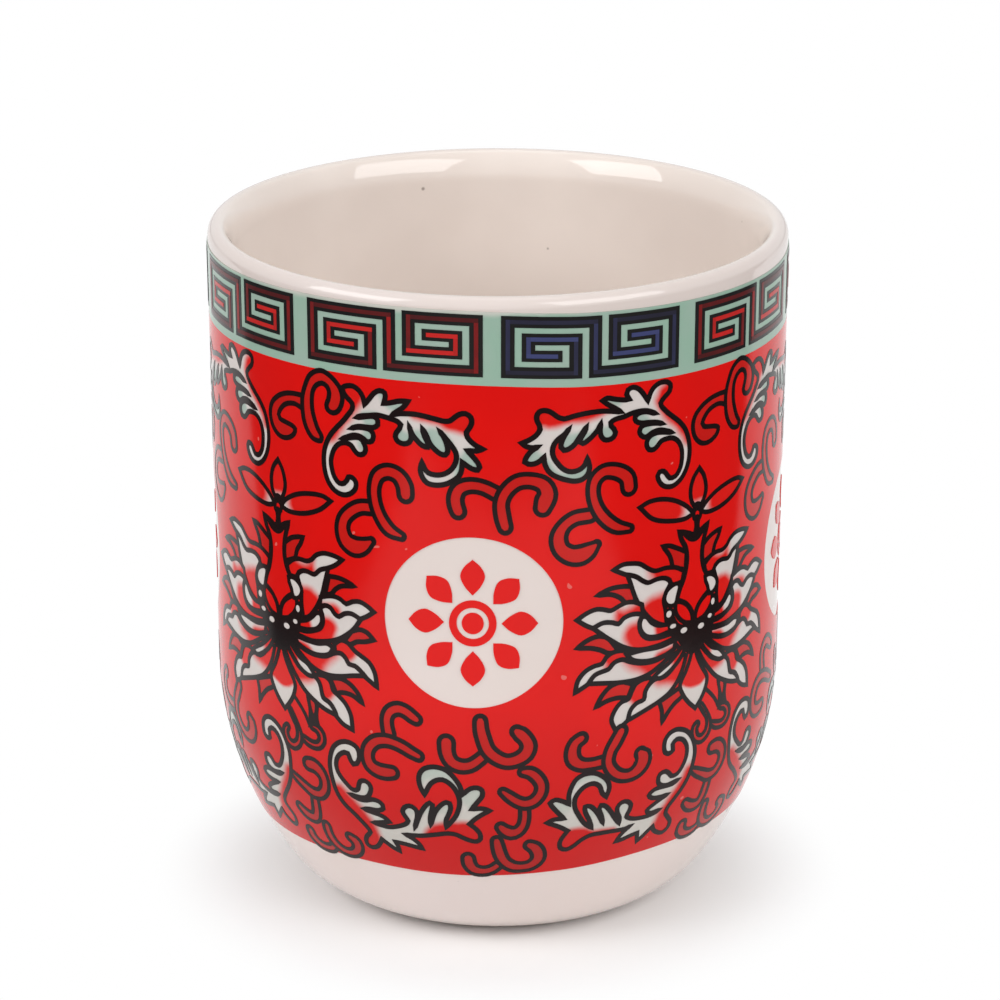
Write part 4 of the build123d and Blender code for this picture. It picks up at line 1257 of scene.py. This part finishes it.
# The four scrolls that surround a reserve: outline, where red shades in, and where the
# turquoise tint lies
scrolls = [
    ([
      (-18.77, 10.66), (-18.16, 10.3), (-17.35, 10.23), (-16.55, 10.66), (-16.06, 11.39),
      [-15.9, 12.27], (-15.26, 11.47), (-14.6, 10.66), (-13.89, 10.29), (-13.29, 10.5),
      (-13.24, 11.15), [-13.45, 11.79], (-12.5, 11.58), (-11.55, 11.3), [-10.4, 11.2],
      (-11.06, 12.03), (-11.7, 12.5), [-12.48, 13.1], (-11.7, 12.84), (-10.74, 12.73),
      (-9.6, 12.7), (-8.5, 12.84), (-7.2, 13.1), (-6.06, 13.3), (-5.5, 13.2), (-5, 12.8),
      (-4.45, 12.4), (-3.7, 12.27), (-3.1, 12.7), (-3, 13.4), (-3.3, 14.05), (-3.6, 14.5),
      (-3.5, 15.1), (-3, 15.7), (-2.35, 16.2), [-1.63, 16.5], (-2.5, 16.74), [-3.56, 16.7],
      (-2.9, 17.4), (-2.35, 18.1), (-2.1, 18.7), (-2.35, 19.05), (-3, 18.9), (-3.65, 18.5),
      [-4.13, 18.1], (-4.16, 19), (-4.45, 19.8), (-5.26, 20.5), (-6.2, 20.95), (-7.35, 21.1),
      (-8.24, 20.9), (-8.8, 20.26), (-9.03, 19.45), [-8.84, 18.3], (-8.56, 19.1),
      (-8.1, 19.65), (-7.3, 19.85), (-6.4, 19.74), (-5.6, 19.3), (-5.02, 18.56),
      (-4.77, 17.76), (-4.85, 17.03), (-5.34, 16.2), (-5.98, 15.4), [-6.82, 14.4],
      (-6.2, 15.26), (-5.9, 16.06), (-5.77, 16.87), (-6.06, 17.35), (-6.63, 17.27),
      (-7.27, 16.8), (-7.9, 16.06), (-8.3, 15.1), [-8.8, 14.26], (-8.5, 15.26), (-8.1, 16.15),
      (-8.16, 16.55), (-8.8, 16.4), (-9.45, 15.8), (-10, 15.1), [-10.4, 14], (-10.18, 14.77),
      (-10.1, 15.6), (-10.34, 16.15), (-10.98, 16.4), (-11.7, 16.2), (-12.03, 15.66),
      (-11.87, 15.1), (-11.5, 14.6), (-11.35, 14.13), (-11.7, 13.8), (-12.5, 13.56),
      (-13.3, 13.4), (-14.3, 13.3), (-15.4, 13.5), (-16.4, 13.7), [-17.1, 14], (-14.6, 13.56),
      (-14.2, 13.97), (-14.2, 14.45), (-14.7, 14.85), (-15.6, 14.94), (-16.7, 15),
      [-17.87, 15.45], (-16.7, 15.1), (-15.1, 15.26), (-14.77, 15.9), (-15, 16.55),
      (-15.6, 16.7), (-16.06, 16.4), (-16.7, 16.15), (-17.5, 16.2), (-18.3, 16.55),
      [-19.1, 16.87], (-16.55, 16.4), (-15.98, 17.03), (-15.8, 17.76), (-16.15, 18.3),
      (-16.8, 18.4), (-17.3, 18), (-17.7, 17.5), (-18.3, 17.27), (-19.1, 17.4), (-19.85, 18),
      (-20.3, 18.8), (-20.55, 19.8), (-20.45, 20.7), (-20.1, 21.7), (-19.45, 22.35),
      (-18.77, 22.27), (-18.4, 21.87), (-18.16, 21.4), (-17.6, 21.4), (-17.16, 21.87),
      (-17.2, 22.6), (-17.7, 23.24), (-18.5, 23.65), (-19.45, 23.65), (-20.4, 23.16),
      (-21.06, 22.35), (-21.47, 21.2), (-21.6, 19.94), (-21.47, 18.65), (-21.15, 17.7),
      (-20.6, 16.7), (-19.8, 15.74), (-18.8, 14.7), (-18, 13.7), (-17.5, 13), (-17.5, 12.35),
      (-18.1, 11.8), (-18.56, 11.3),
     ],
     [([(-15.9, 10), (-15.9, 11.6), (-16.3, 12.4), (-16.9, 13.2), (-17.7, 14.3), (-18.6, 15.4),
        (-19.3, 16.4), (-20.3, 17.5), (-23, 17), (-23, 10)], 0.9),
      ([(-10.2, 12.9), (-9.3, 13.4), (-8.2, 13.55), (-6.9, 13.8), (-5.9, 14.35), (-4.9, 14.6),
        (-2.5, 14.8), (-2, 11.5), (-10, 11.5)], 0.7)],
     [([(-14.2, 10), (-12.9, 12.4), (-10, 12.6), (-10, 10)], 1.0),
      ([(-9.4, 14.5), (-8.6, 14.8), (-7.8, 14.2), (-5.4, 15.5), (-5.4, 18), (-12.5, 17.5),
        (-12.5, 14.6), (-10.3, 15.0)], 0.9),
      ([(-3.6, 16.6), (-4.3, 17.4), (-4.9, 18.2), (-5.4, 22), (-9.5, 22), (-1, 21),
        (-1, 17)], 1.0),
      ([(-16.4, 13.3), (-15.9, 15.0), (-16.8, 17.4), (-14, 19), (-13.6, 13.3)], 0.9)]),
    ([
      (7.6, 13.1), (7.1, 12.95), (6.6, 12.6), (6, 12.15), (5.3, 11.95), (4.75, 12.1),
      (4.45, 12.6), (4.5, 13.2), (4.75, 13.7), (4.85, 14.2), (4.4, 14.9), (3.6, 15.45),
      [2.7, 15.8], (3.3, 16.25), (4.1, 16.4), [4.75, 16.25], (3.9, 16.75), (3.35, 17.4),
      (3.1, 18.1), (3.5, 18.35), (4.2, 18.35), (4.9, 18), [5.35, 17.5], (5.35, 18.1),
      (5.6, 18.9), (6.1, 19.6), (6.9, 20.1), (7.9, 20.5), (9, 20.75), (9.9, 20.6),
      (10.5, 20.1), (10.75, 19.3), [10.45, 18], (10.2, 18.8), (9.7, 19.3), (9, 19.55),
      (8.2, 19.5), (7.5, 19.1), (6.9, 18.4), (6.45, 17.7), (6.3, 16.9), (6.5, 16.1),
      (7, 15.5), (7.75, 14.95), [8.35, 14.2], (7.8, 15), (7.4, 15.8), (7.3, 16.5),
      (7.65, 16.9), (8.3, 16.75), (8.9, 16.3), (9.3, 15.75), (9.85, 14.95), [10.4, 14.15],
      (10.1, 14.9), (9.7, 15.5), (9.55, 16.05), (9.9, 16.25), (10.5, 15.95), (11.2, 15.35),
      (11.75, 14.7), [12.1, 13.9], (12, 14.9), (12.1, 15.55), (12.5, 16.05), (13.05, 16.15),
      (13.65, 15.9), (13.9, 15.35), (13.7, 14.9), (13.35, 14.5), (13.3, 14.1), (13.8, 13.78),
      (15, 13.58), (16, 13.3), (17, 13.2), (18, 13.3), [19.33, 13.87], (18.67, 13.67),
      (18, 13.42), (17, 13.42), (16.4, 13.8), (16.5, 14.33), (17.2, 14.67), (18.17, 14.75),
      (19.33, 14.92), [20.33, 15.28], (19.2, 15), (18, 14.95), (17.3, 15.1), (17, 15.67),
      (17.25, 16.2), (17.9, 16.5), (18.67, 16.08), (19.67, 15.92), (20.67, 16.17),
      [21.67, 16.58], (20.6, 16.35), (19.4, 16.2), (18.6, 16.4), (18.1, 16.85), (18, 17.5),
      (18.33, 18.08), (19, 18.17), (19.5, 17.83), (20, 17.33), (20.83, 17.17), (21.67, 17.25),
      (22.5, 17.83), (23, 18.83), (23.08, 20), (22.83, 21.17), (22.17, 22), (21.33, 22.08),
      (20.83, 21.5), (20.42, 21.08), (19.83, 21.08), (19.58, 21.5), (19.83, 22.25),
      (20.5, 22.92), (21.67, 23.17), (22.83, 22.67), (23.67, 21.67), (24.17, 20.33),
      (24.25, 19), (24, 17.67), (23.5, 16.5), (22.67, 15.5), (21.67, 14.67), (20.67, 13.83),
      (19.92, 13), (19.83, 12.67), (20.33, 12.08), (21.08, 11.42), (21.17, 10.67),
      (20.67, 10.25), (19.83, 10.17), (19, 10.5), (18.42, 11.17), [18.08, 12.17],
      (17.5, 11.25), (16.83, 10.5), (16.08, 10.17), (15.42, 10.42), (15.25, 10.92),
      [15.67, 11.58], (15.17, 11.58), (13.83, 11.33), (12.83, 11.08), [12.25, 11.33],
      (13, 11.92), (13.83, 12.42), [14.67, 13], (13.5, 12.75), (12.17, 12.58), (10.5, 12.62),
      (9, 12.82),
     ],
     [([(21.6, 10.0), (19.7, 10.8), (19.4, 11.6), (19.1, 12.4), (19.7, 13.6), (20.7, 14.9),
        (21.8, 15.9), (22.9, 17.2), (23.6, 18.4), (25.5, 18), (24, 10)], 0.8),
      ([(13.7, 12.6), (12.6, 13.0), (11.6, 13.4), (10.4, 13.7), (9.3, 13.75), (8.0, 13.8),
        (7.0, 14.1), (6.0, 14.2), (5.1, 13.9), (3.5, 13.6), (4, 11), (13, 11.9)], 0.7)],
     [([(11.8, 10.8), (12.4, 11.8), (14.4, 12.2), (14.6, 10.9)], 1.0),
      ([(7.0, 15.6), (8.4, 15.0), (9.4, 14.9), (10.4, 15.0), (12.2, 14.6), (14.2, 14.6),
        (14.2, 17), (7, 17.4)], 0.9),
      ([(4.3, 16.7), (5.4, 17.6), (6.2, 18.4), (7.2, 19.6), (11, 19), (11, 21.4), (2.8, 21),
        (2.8, 17)], 1.0),
      ([(16, 13.2), (18.2, 14.0), (18.6, 15.6), (19.6, 17.2), (17.6, 18.8), (16, 16)], 0.9)]),
    ([
      (-17.33, 56), (-17.58, 55.17), (-18.33, 54.75), (-19.17, 54.67), (-20.17, 55),
      (-21, 55.75), (-21.5, 56.83), (-21.75, 58), (-21.75, 59.17), (-21.58, 60.33),
      (-21.33, 61.5), (-20.83, 62.67), (-20, 63.67), (-19, 64.5), (-18.17, 65.33),
      (-17.42, 66.17), (-17.08, 66.83), (-17.67, 67.5), (-18.08, 68.33), (-17.92, 69.08),
      (-17.33, 69.33), (-16.5, 69), (-15.83, 68.17), [-15.53, 67.63], (-14.83, 68.17),
      (-14, 68.75), [-13.25, 69.13], (-13.33, 68.33), [-13.67, 67.67], (-12.67, 67.75),
      (-11.33, 67.95), [-9.92, 68.2], (-10.33, 67.42), (-11.25, 66.67), [-12.13, 66.25],
      (-11, 66.25), (-9.5, 66.08), (-8, 65.75), (-6.33, 65.42), (-5.33, 65.5), (-4.33, 66),
      (-3.33, 66.38), (-2.67, 66.42), (-2.2, 66), (-2.28, 65.17), (-2.75, 64.5),
      [-3.53, 63.83], (-2.83, 63.08), (-1.83, 62.33), [-0.97, 61.83], (-1.83, 61.53),
      [-3.25, 61.67], (-2.5, 60.67), (-1.88, 59.75), (-1.92, 59), (-2.5, 58.67),
      (-3.33, 58.83), [-4.28, 59.67], (-4.58, 58.58), (-5, 57.83), (-5.58, 57.08),
      (-6.25, 56.53), (-7.08, 56.25), (-8.08, 56.25), (-9, 56.63), (-9.53, 57.37),
      (-9.63, 58.25), (-9.47, 59.08), [-9, 60.08], (-8.63, 59.3), (-8.17, 58.5),
      (-7.47, 57.97), (-6.67, 57.83), (-5.92, 58.2), (-5.25, 58.92), (-4.83, 59.83),
      (-4.67, 60.75), (-4.83, 61.75), (-5.25, 62.83), [-6.5, 64.5], (-6.47, 63.5),
      (-6.08, 62.58), (-5.8, 61.67), (-5.92, 61), (-6.33, 60.87), (-7, 61.33), (-7.75, 62.33),
      [-8.5, 64.42], (-8.47, 63.33), (-8.25, 62.33), (-8.08, 61.42), (-8.42, 61.17),
      (-9, 61.67), (-9.58, 62.58), (-10, 63.5), [-10.67, 65.17], (-10.42, 64.33),
      (-10.17, 63.42), (-10.13, 62.58), (-10.5, 62.08), (-11.08, 61.88), (-11.7, 62.17),
      (-12.03, 62.83), (-11.75, 63.5), (-11.42, 64.08), (-11.75, 64.58), (-12.33, 64.92),
      (-13.33, 65.3), (-14.33, 65.5), (-15.33, 65.42), [-16.42, 65.25], (-15.33, 65.03),
      [-14, 64.67], (-14.5, 64.2), (-15.33, 63.87), (-16.5, 63.67), [-17.53, 63.45],
      (-16.5, 63.28), (-15.33, 63.25), (-14.63, 62.83), (-14.67, 62.33), (-15.17, 61.92),
      (-16, 61.8), (-16.83, 62.08), (-17.83, 62.17), [-19.25, 61.72], (-18.25, 61.83),
      (-17.33, 61.83), (-16.67, 61.58), (-16.25, 61), (-16.03, 60.25), (-16.25, 59.67),
      (-16.83, 59.38), (-17.42, 59.55), (-17.7, 60.08), (-17.87, 60.67), (-18.33, 61),
      (-18.92, 60.87), (-19.42, 60.42), (-20.08, 59.75), (-20.58, 59), (-20.78, 58.17),
      (-20.62, 57.25), (-20.08, 56.5), (-19.42, 56.12), (-18.92, 56.17), (-18.7, 56.75),
      (-18.25, 57.42), (-17.75, 57.25), (-17.42, 56.67),
     ],
     [([(-21.2, 60.6), (-20.4, 60.6), (-19.7, 61.2), (-18.8, 62.1), (-17.7, 63.2), (-16.9, 64.3),
        (-16.2, 65.3), (-15.8, 66.2), (-15.7, 68.4), (-18, 70), (-23, 66), (-23, 60.6)], 0.9),
      ([(-9.5, 65.8), (-8.9, 64.8), (-8.1, 64.2), (-7.3, 64.0), (-5.7, 63.7), (-4.3, 63.55),
        (-3.3, 63.7), (-1.5, 64), (-1.8, 67), (-9, 67)], 0.7)],
     [([(-4.4, 58.4), (-4.4, 60.4), (-3.4, 61.6), (-1, 61.2), (-1, 58)], 0.8),
      ([(-12.4, 61.5), (-12.2, 63.4), (-10.2, 63.0), (-8.2, 62.6), (-5.6, 62.4), (-5.4, 60.6),
        (-10, 60.8)], 0.8),
      ([(-9.8, 60.4), (-9.2, 58.6), (-7, 57.6), (-5.2, 58.4), (-4.4, 59.6), (-4, 56),
        (-9.8, 56)], 0.9),
      ([(-16.6, 59), (-16.8, 61.2), (-16, 62.6), (-15.4, 64.6), (-15.4, 65.8), (-13.5, 65),
        (-14.2, 60)], 0.9)]),
    ([
      (21.3, 56), (21.4, 55), (22, 54.3), (23, 54), (24.2, 54.3), (25.2, 55), (26, 56.2),
      (26.4, 57.6), (26.3, 59.2), (25.9, 60.8), (25, 62.4), (24, 63.6), (23.2, 64.6),
      (23, 65.4), (23.6, 66.2), (24.2, 67), (24.1, 68), (23.4, 68.5), (22.4, 68.2),
      (21.6, 67.6), [21.3, 67], (20.6, 67.6), (20, 68.2), [19.3, 68.8], (19.1, 68),
      [19, 67.4], (18, 67.6), (17, 67.9), [15.9, 68.1], (16.4, 67.2), (17.2, 66.4),
      [17.8, 66], (16.8, 66.3), (15.2, 66.3), (13.6, 66.3), (12, 66.4), (10.8, 67),
      (10, 67.7), (9, 68.2), (8.2, 67.9), (8, 67), (8.3, 66.2), [8.9, 65.3], (8, 64.7),
      (7, 64.2), [6.1, 63.8], (7, 63.4), [8.3, 63.4], (7.4, 62.4), (6.6, 61.4), (6.4, 61),
      (7, 60.6), (8, 60.9), [8.8, 61.4], (8.7, 60.2), (9, 59), (9.6, 58), (10.6, 57.5),
      (11.8, 57.5), (12.8, 58), (13.6, 58.8), (13.9, 59.8), [13.6, 61], (13, 60.4),
      (12.6, 59.4), (11.8, 58.9), (10.8, 59.1), (10, 59.8), (9.5, 60.8), (9.6, 62),
      (10.2, 63.2), (11, 64.4), [12.1, 65.3], (11.6, 64), (11, 62.8), (10.9, 62), (11.5, 62),
      (12.2, 62.6), (12.9, 63.6), [13.6, 64.9], (13.2, 63.6), (12.8, 62.6), (13, 62.1),
      (13.6, 62.3), (14.4, 63.2), (15.2, 64.4), [15.9, 65.3], (15.8, 64.4), (15.4, 63.6),
      (15.3, 62.8), (15.8, 62.2), (16.6, 62.2), (17.2, 62.8), (17.1, 63.6), (16.8, 64.4),
      (17.6, 64.9), (18.8, 65.1), (20.2, 65.1), (21.2, 64.9), [21.9, 64.6], (20.2, 64.7),
      (19.8, 64.2), (20.6, 63.6), (21.8, 63), [22.8, 62.6], (21.6, 62.7), (20.2, 62.5),
      (19.7, 62), (20.4, 61.4), (22, 61.3), (23.2, 61.3), [24.2, 60.9], (22, 61.2),
      (21, 60.7), (20.8, 60), (21, 59.4), (21.8, 59.2), (22.4, 59.6), (22.9, 60.1),
      (23.8, 60), (24.6, 59), (25, 57.8), (24.9, 56.6), (24.2, 55.6), (23.2, 55.3),
      (22.6, 55.8), (22.7, 56.6), (22.1, 56.9), (21.5, 56.6),
     ],
     [([(25.3, 59.4), (24.5, 60.9), (23.6, 62.2), (22.6, 63.6), (21.8, 64.9), (21.4, 66.2),
        (21.3, 68.2), (24, 70), (27.5, 66), (27, 59.4)], 0.9),
      ([(15.4, 65.9), (13.6, 65.7), (12.2, 65.6), (11.3, 65.1), (9.2, 65.1), (8.2, 65.6),
        (7, 68.8), (15, 67.2)], 0.6)],
     [([(6, 60), (7, 62.2), (8.6, 62.7), (9.2, 61.4), (8.6, 60)], 0.9),
      ([(10.8, 61.6), (11.6, 63.6), (13.4, 63.6), (15.2, 63.6), (16.4, 63.6), (17.6, 61.8)], 0.9),
      ([(8.6, 60.6), (9.6, 59.0), (11.6, 58.4), (13.2, 59.4), (14.2, 60.6), (14, 57),
        (8.6, 57)], 0.9),
      ([(20.8, 58.8), (21.2, 60.8), (20.6, 62.4), (20.8, 63.6), (20.4, 65), (19, 63),
        (19, 59)], 0.9)]),
]


def scroll_leaves(drawing):
    """The four scrolls round the reserve."""
    for outline, blushes, tints in scrolls:
        tinge = [(level(loop), width) for loop, width in tints]
        petal(drawing, level(outline), spread(level, blushes), half=scroll_half, tinge=tinge)


# The reserve: its middle, half width and half height; then the rosette in it; then how many
# sides stand for the round of each
reserve_x, reserve_y, reserve_wide, reserve_high = -2.95, 37.9, 10.7, 10.4
hoop_outside, hoop_inside, rosette_dot = 2.8, 1.9, 1.3
reserve_sides, hoop_sides = 180, 72
rosette_petals = 8
rosette_petal = [
    [3.4, 0], (4.4, 0.9), (5.7, 1.45), (6.8, 1.0), [7.7, 0], (6.8, -1.0), (5.7, -1.45),
    (4.4, -0.9),
]


def reserve(drawing):
    """The round window in the red ground, and the rosette in it."""
    (_, middle), = level([(reserve_x, reserve_y)])
    drawing.paint(None, oval(reserve_x, middle, reserve_wide, reserve_high, reserve_sides))
    for colour, radius in [
        ("rosette", hoop_outside), (None, hoop_inside), ("rosette", rosette_dot),
    ]:
        drawing.paint(colour, oval(reserve_x, middle, radius, radius, hoop_sides))
    for n in range(rosette_petals):
        c, s = cos(2 * pi * n / rosette_petals), sin(2 * pi * n / rosette_petals)
        drawing.fill("rosette", [
            type(point)((reserve_x + point[0] * c - point[1] * s,
                         middle + point[0] * s + point[1] * c))
            for point in rosette_petal
        ])


# How closely a straight side of the fret is divided, and the band and the ground are
straight_step = 1.1
ring_steps = 160


def divided(corners):
    """A straight-edged loop with its sides divided, so that it can follow the round wall."""
    result = []
    for (x0, y0), (x1, y1) in zip(corners, [*corners[1:], corners[0]]):
        steps = max(1, int(hypot(x1 - x0, y1 - y0) / straight_step + 0.5))
        result += [(x0 + (x1 - x0) * k / steps, y0 + (y1 - y0) * k / steps) for k in range(steps)]
    return np.array(result)


# The key fret: the gap between two pairs of spirals, the width of an upright bar and of
# the lane beside it, the height of a level bar and of the lane below it, and the line in a
# bar. The visible pairs were laid by hand, a little off the even pitch.
pair_gap = 2.48
bar_width = 1.55
lane_width = 0.8
bar_height = 1.37
lane_height = 0.64
line_width = 0.5
fret_front, fret_top = 0.35, 0.58
fret_slips = {-2: 0.73, -1: 0.43, 1: -0.08}
line_colours = ("blue line", "red line", "red line")


def fret_cells():
    """The bars of one pair of squared spirals, from its upper left corner: left, right, top,
    bottom, and how bright the line in the bar is."""
    pair_width = key_pitch - pair_gap
    fret_height = 4 * bar_height + 3 * lane_height
    block = (pair_width - bar_width) / 2 - lane_width
    inner_left = bar_width + lane_width
    rows = [n * (bar_height + lane_height) for n in range(4)]
    left_spiral = [
        (0, (pair_width + bar_width) / 2, rows[0], rows[0] + bar_height, 0.2),
        (0, bar_width, rows[0], fret_height, 0.35),
        (0, block, rows[3], fret_height, 0.16),
        (block - bar_width, block, rows[1], fret_height, 0.3),
        (inner_left, block, rows[1], rows[1] + bar_height, 0.9),
        (inner_left, inner_left + bar_width, rows[1], rows[2] + bar_height, 0.7),
        (inner_left, block - inner_left, rows[2], rows[2] + bar_height, 1.0),
    ]
    middle = ((pair_width - bar_width) / 2, (pair_width + bar_width) / 2, 0, fret_height, 0.5)
    right_spiral = [
        (pair_width - right, pair_width - left, fret_height - bottom, fret_height - top, bright)
        for left, right, top, bottom, bright in left_spiral
    ]
    return [middle, *left_spiral, *right_spiral]


def key_fret():
    """The key fret round the band: shapes on the cup."""
    cells = fret_cells()
    dx, dy = (bar_width - line_width) / 2, (bar_height - line_width) / 2
    past_back = (key_pairs + 1) // 2
    for n in range(-past_back, past_back):
        corner = fret_front + n * key_pitch + fret_slips.get(n, 0)
        line_colour = line_colours[n % len(line_colours)]
        bars = [("key", left, right, high, low, {}) for left, right, high, low, _ in cells]
        lines = [
            (line_colour, left + dx, right - dx, high + dy, low - dy, {"bright": bright})
            for left, right, high, low, bright in cells
        ]
        for colour, left, right, high, low, fields in bars + lines:
            box = [(left, high), (right, high), (right, low), (left, low)]
            loop = divided([(corner + x, fret_top + y) for x, y in box])
            yield colour, put(loop, 0.0), fields


# The band's upper edge, how far it laps under the red, and how far both run past the back
band_top = 0.2
band_lap = 0.2
seam_lap = 4


def rings():
    """The turquoise band and the red ground, all the way round."""
    places = np.linspace(-girth / 2 - seam_lap, girth / 2 + seam_lap, ring_steps)
    for colour, high, low in [
        ("band", band_top, band_edge + band_lap), ("red", band_edge, hem_edge),
    ]:
        upper, lower = (
            np.stack([places, laid(places, np.full_like(places, depth))], 1)
            for depth in (high, low)
        )
        yield colour, np.concatenate([upper, lower[::-1]]), {}


def transfer():
    """The whole transfer, cut and fired on: one coat for each colour."""
    drawing = Drawing()
    reserve(drawing)
    lotus(drawing)
    scroll_leaves(drawing)
    tendrils(drawing)
    shapes = list(rings())
    past_back = sheets_round // 2
    for sheet in range(-past_back, past_back + 1):
        shapes += drawing.laid_again(sheet * sheet_width)
    shapes += key_fret()
    shapes = [(colour, wound(loop), fields) for colour, loop, fields in shapes]
    cut = triangles_of(shapes)
    red = enamel_material("red_enamel", red_thick, red_thin, red_painted_shade, pinholes=True)
    thin_red = enamel_material("thin_red_enamel", tendril_thick, tendril_thin, tendril_painted_shade)
    rosette_red = enamel_material("rosette_red_enamel", red_thick, red_thin)
    outline_black = enamel_material("outline_enamel", outline_thick, outline_thin)
    key_black = enamel_material("black_enamel", key_thick, key_thin)
    red_key = key_line_material("red_line_enamel", *red_line)
    blue_key = key_line_material("blue_line_enamel", *blue_line)
    for colour, name, lift, material, slot, replaces in [
        ("red", "red_ground_enamel", red_lift, red, "red_enamel", ["red_ground"]),
        ("tendril", "tendril_enamel", red_lift, thin_red, "red_enamel", []),
        ("rosette", "rosette_enamel", red_lift, rosette_red, "red_enamel", ["roundel_rosettes"]),
        ("band", "turquoise_band_enamel", band_lift, turquoise_material(), "turquoise_enamel",
         ["turquoise_band"]),
        ("white", "petal_enamel", white_lift, white_enamel_material(), "clear_glaze", []),
        ("outline", "outline_enamel", black_lift, outline_black, "black_enamel", []),
        ("key", "key_fret_enamel", black_lift, key_black, "black_enamel", ["black_key_fret"]),
        ("red line", "red_key_line_enamel", line_lift, red_key, "red_enamel", ["red_key_lines"]),
        ("blue line", "blue_key_line_enamel", line_lift, blue_key, "blue_enamel",
         ["blue_key_lines"]),
    ]:
        enamel_piece(cut, shapes, colour, name, lift, material, slot, replaces)


def carried_over():
    """Finishes for the CAD nodes that stay as they are."""
    finishes = {
        "porcelain_body": biscuit_material(),
        "base_glaze": glaze_material("base_glaze", glaze_grey, foot_grey),
    }
    for node, material in finishes.items():
        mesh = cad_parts[node].data
        mesh.materials.clear()
        mesh.materials.append(material)


# The studio: a pale floor and backdrop, soft lamps, and the photograph's camera
camera_distance = 0.52429
camera_height = 0.2273
camera_pitch = 18.81
focal_pixels = 4500
picture_width = 1000
axis_pixel = 497.875
sensor_width = 36.0
nearest_seen = 0.01
cup_middle = 0.045
white = (1, 1, 1)
world_light = 0.4
# The world's plain light in reflections, and where their white backdrop begins
mirrored_light = 0.055
horizon = (-0.05, 0.1)
floor_colour = (0.98, 0.98, 0.98)
floor_fade = (0.023, 0.044)
table_side = 0.12
table_front = -0.2
sweep_side = 5.0
sweep_back = 8.0
# Softboxes: name, turn from the front, climb above the floor, distance, width, height, watts
softboxes = [
    ("left_softbox", -61, 33, 1.1, 0.7, 0.6, 5.2),
    ("right_softbox", 46, 33, 1.1, 0.84, 0.6, 5.3),
    ("overhead_softbox", 180, 80, 1.2, 0.5, 0.5, 1.0),
]


def pale_floor():
    """The floor, which keeps the cup's shadow near it and is white further off."""
    mesh = bpy.data.meshes.new("floor")
    corners = [(table_side, table_front), (table_side, 0.0), (sweep_side, sweep_back / 2),
               (sweep_side, sweep_back)]
    outline = corners + [(-x, y) for x, y in reversed(corners)]
    mesh.from_pydata([(x, y, 0.0) for x, y in outline], [], [range(len(outline))])
    floor = shown("floor", mesh)
    nodes = Nodes(bpy.data.materials.new("pale_floor"))
    lit = nodes.add("ShaderNodeBsdfDiffuse", None, {"Color": floor_colour})
    plain_white = nodes.add("ShaderNodeEmission", None, {"Color": white})
    camera, glossy, through = nodes.rays()
    away = nodes.vector("LENGTH", nodes.place())
    share = (camera + glossy + through).at_most(1.0) * away.ramp(*floor_fade)
    both = nodes.add("ShaderNodeMixShader", None, (share, lit, plain_white))
    nodes.add("ShaderNodeOutputMaterial", None, (both,), None)
    mesh.materials.append(nodes.owner)


def white_world():
    """The world: white to the camera, and a plain even light on the cup."""
    world = bpy.data.worlds.new("studio")
    bpy.context.scene.world = world
    sky = Nodes(world)
    camera, glossy, through = sky.rays()
    way = sky.add("ShaderNodeTexCoord", output="Generated")
    climb = sky.add("ShaderNodeSeparateXYZ", None, (way,), "Z")
    seen = camera + through + glossy * climb.ramp(*horizon)
    lighting = (1 - camera - glossy - through).at_least(0.0)
    strength = seen + lighting * world_light + glossy * mirrored_light
    background = sky.add("ShaderNodeBackground", None, {"Color": white, "Strength": strength})
    sky.add("ShaderNodeOutputWorld", None, (background,), None)


def softbox(name, turn, climb, distance, wide, high, power):
    """A softbox aimed at the cup."""
    light = bpy.data.lights.new(name, "AREA")
    light.shape, light.size, light.size_y, light.energy = "RECTANGLE", wide, high, power
    lamp = shown(name, light)
    turn, climb = radians(turn), radians(climb)
    way = Vector((sin(turn) * cos(climb), -cos(turn) * cos(climb), sin(climb)))
    lamp.location = Vector((0, 0, cup_middle)) + way * distance
    lamp.rotation_euler = (-way).to_track_quat("-Z", "Y").to_euler()


def studio():
    """The floor, the world, the lamps and the camera."""
    pale_floor()
    white_world()
    for box in softboxes:
        softbox(*box)
    camera = bpy.data.cameras.new("camera")
    camera.sensor_width = sensor_width
    camera.lens = focal_pixels / picture_width * sensor_width
    camera.shift_x = 0.5 - axis_pixel / picture_width
    camera.clip_start = nearest_seen
    camera_object = shown("camera", camera)
    camera_object.location = (0, -camera_distance, camera_height)
    camera_object.rotation_euler = (radians(90 - camera_pitch), 0, 0)
    bpy.context.scene.camera = camera_object
    bpy.context.scene.view_settings.view_transform = "Standard"


glaze_coat()
transfer()
carried_over()
studio()
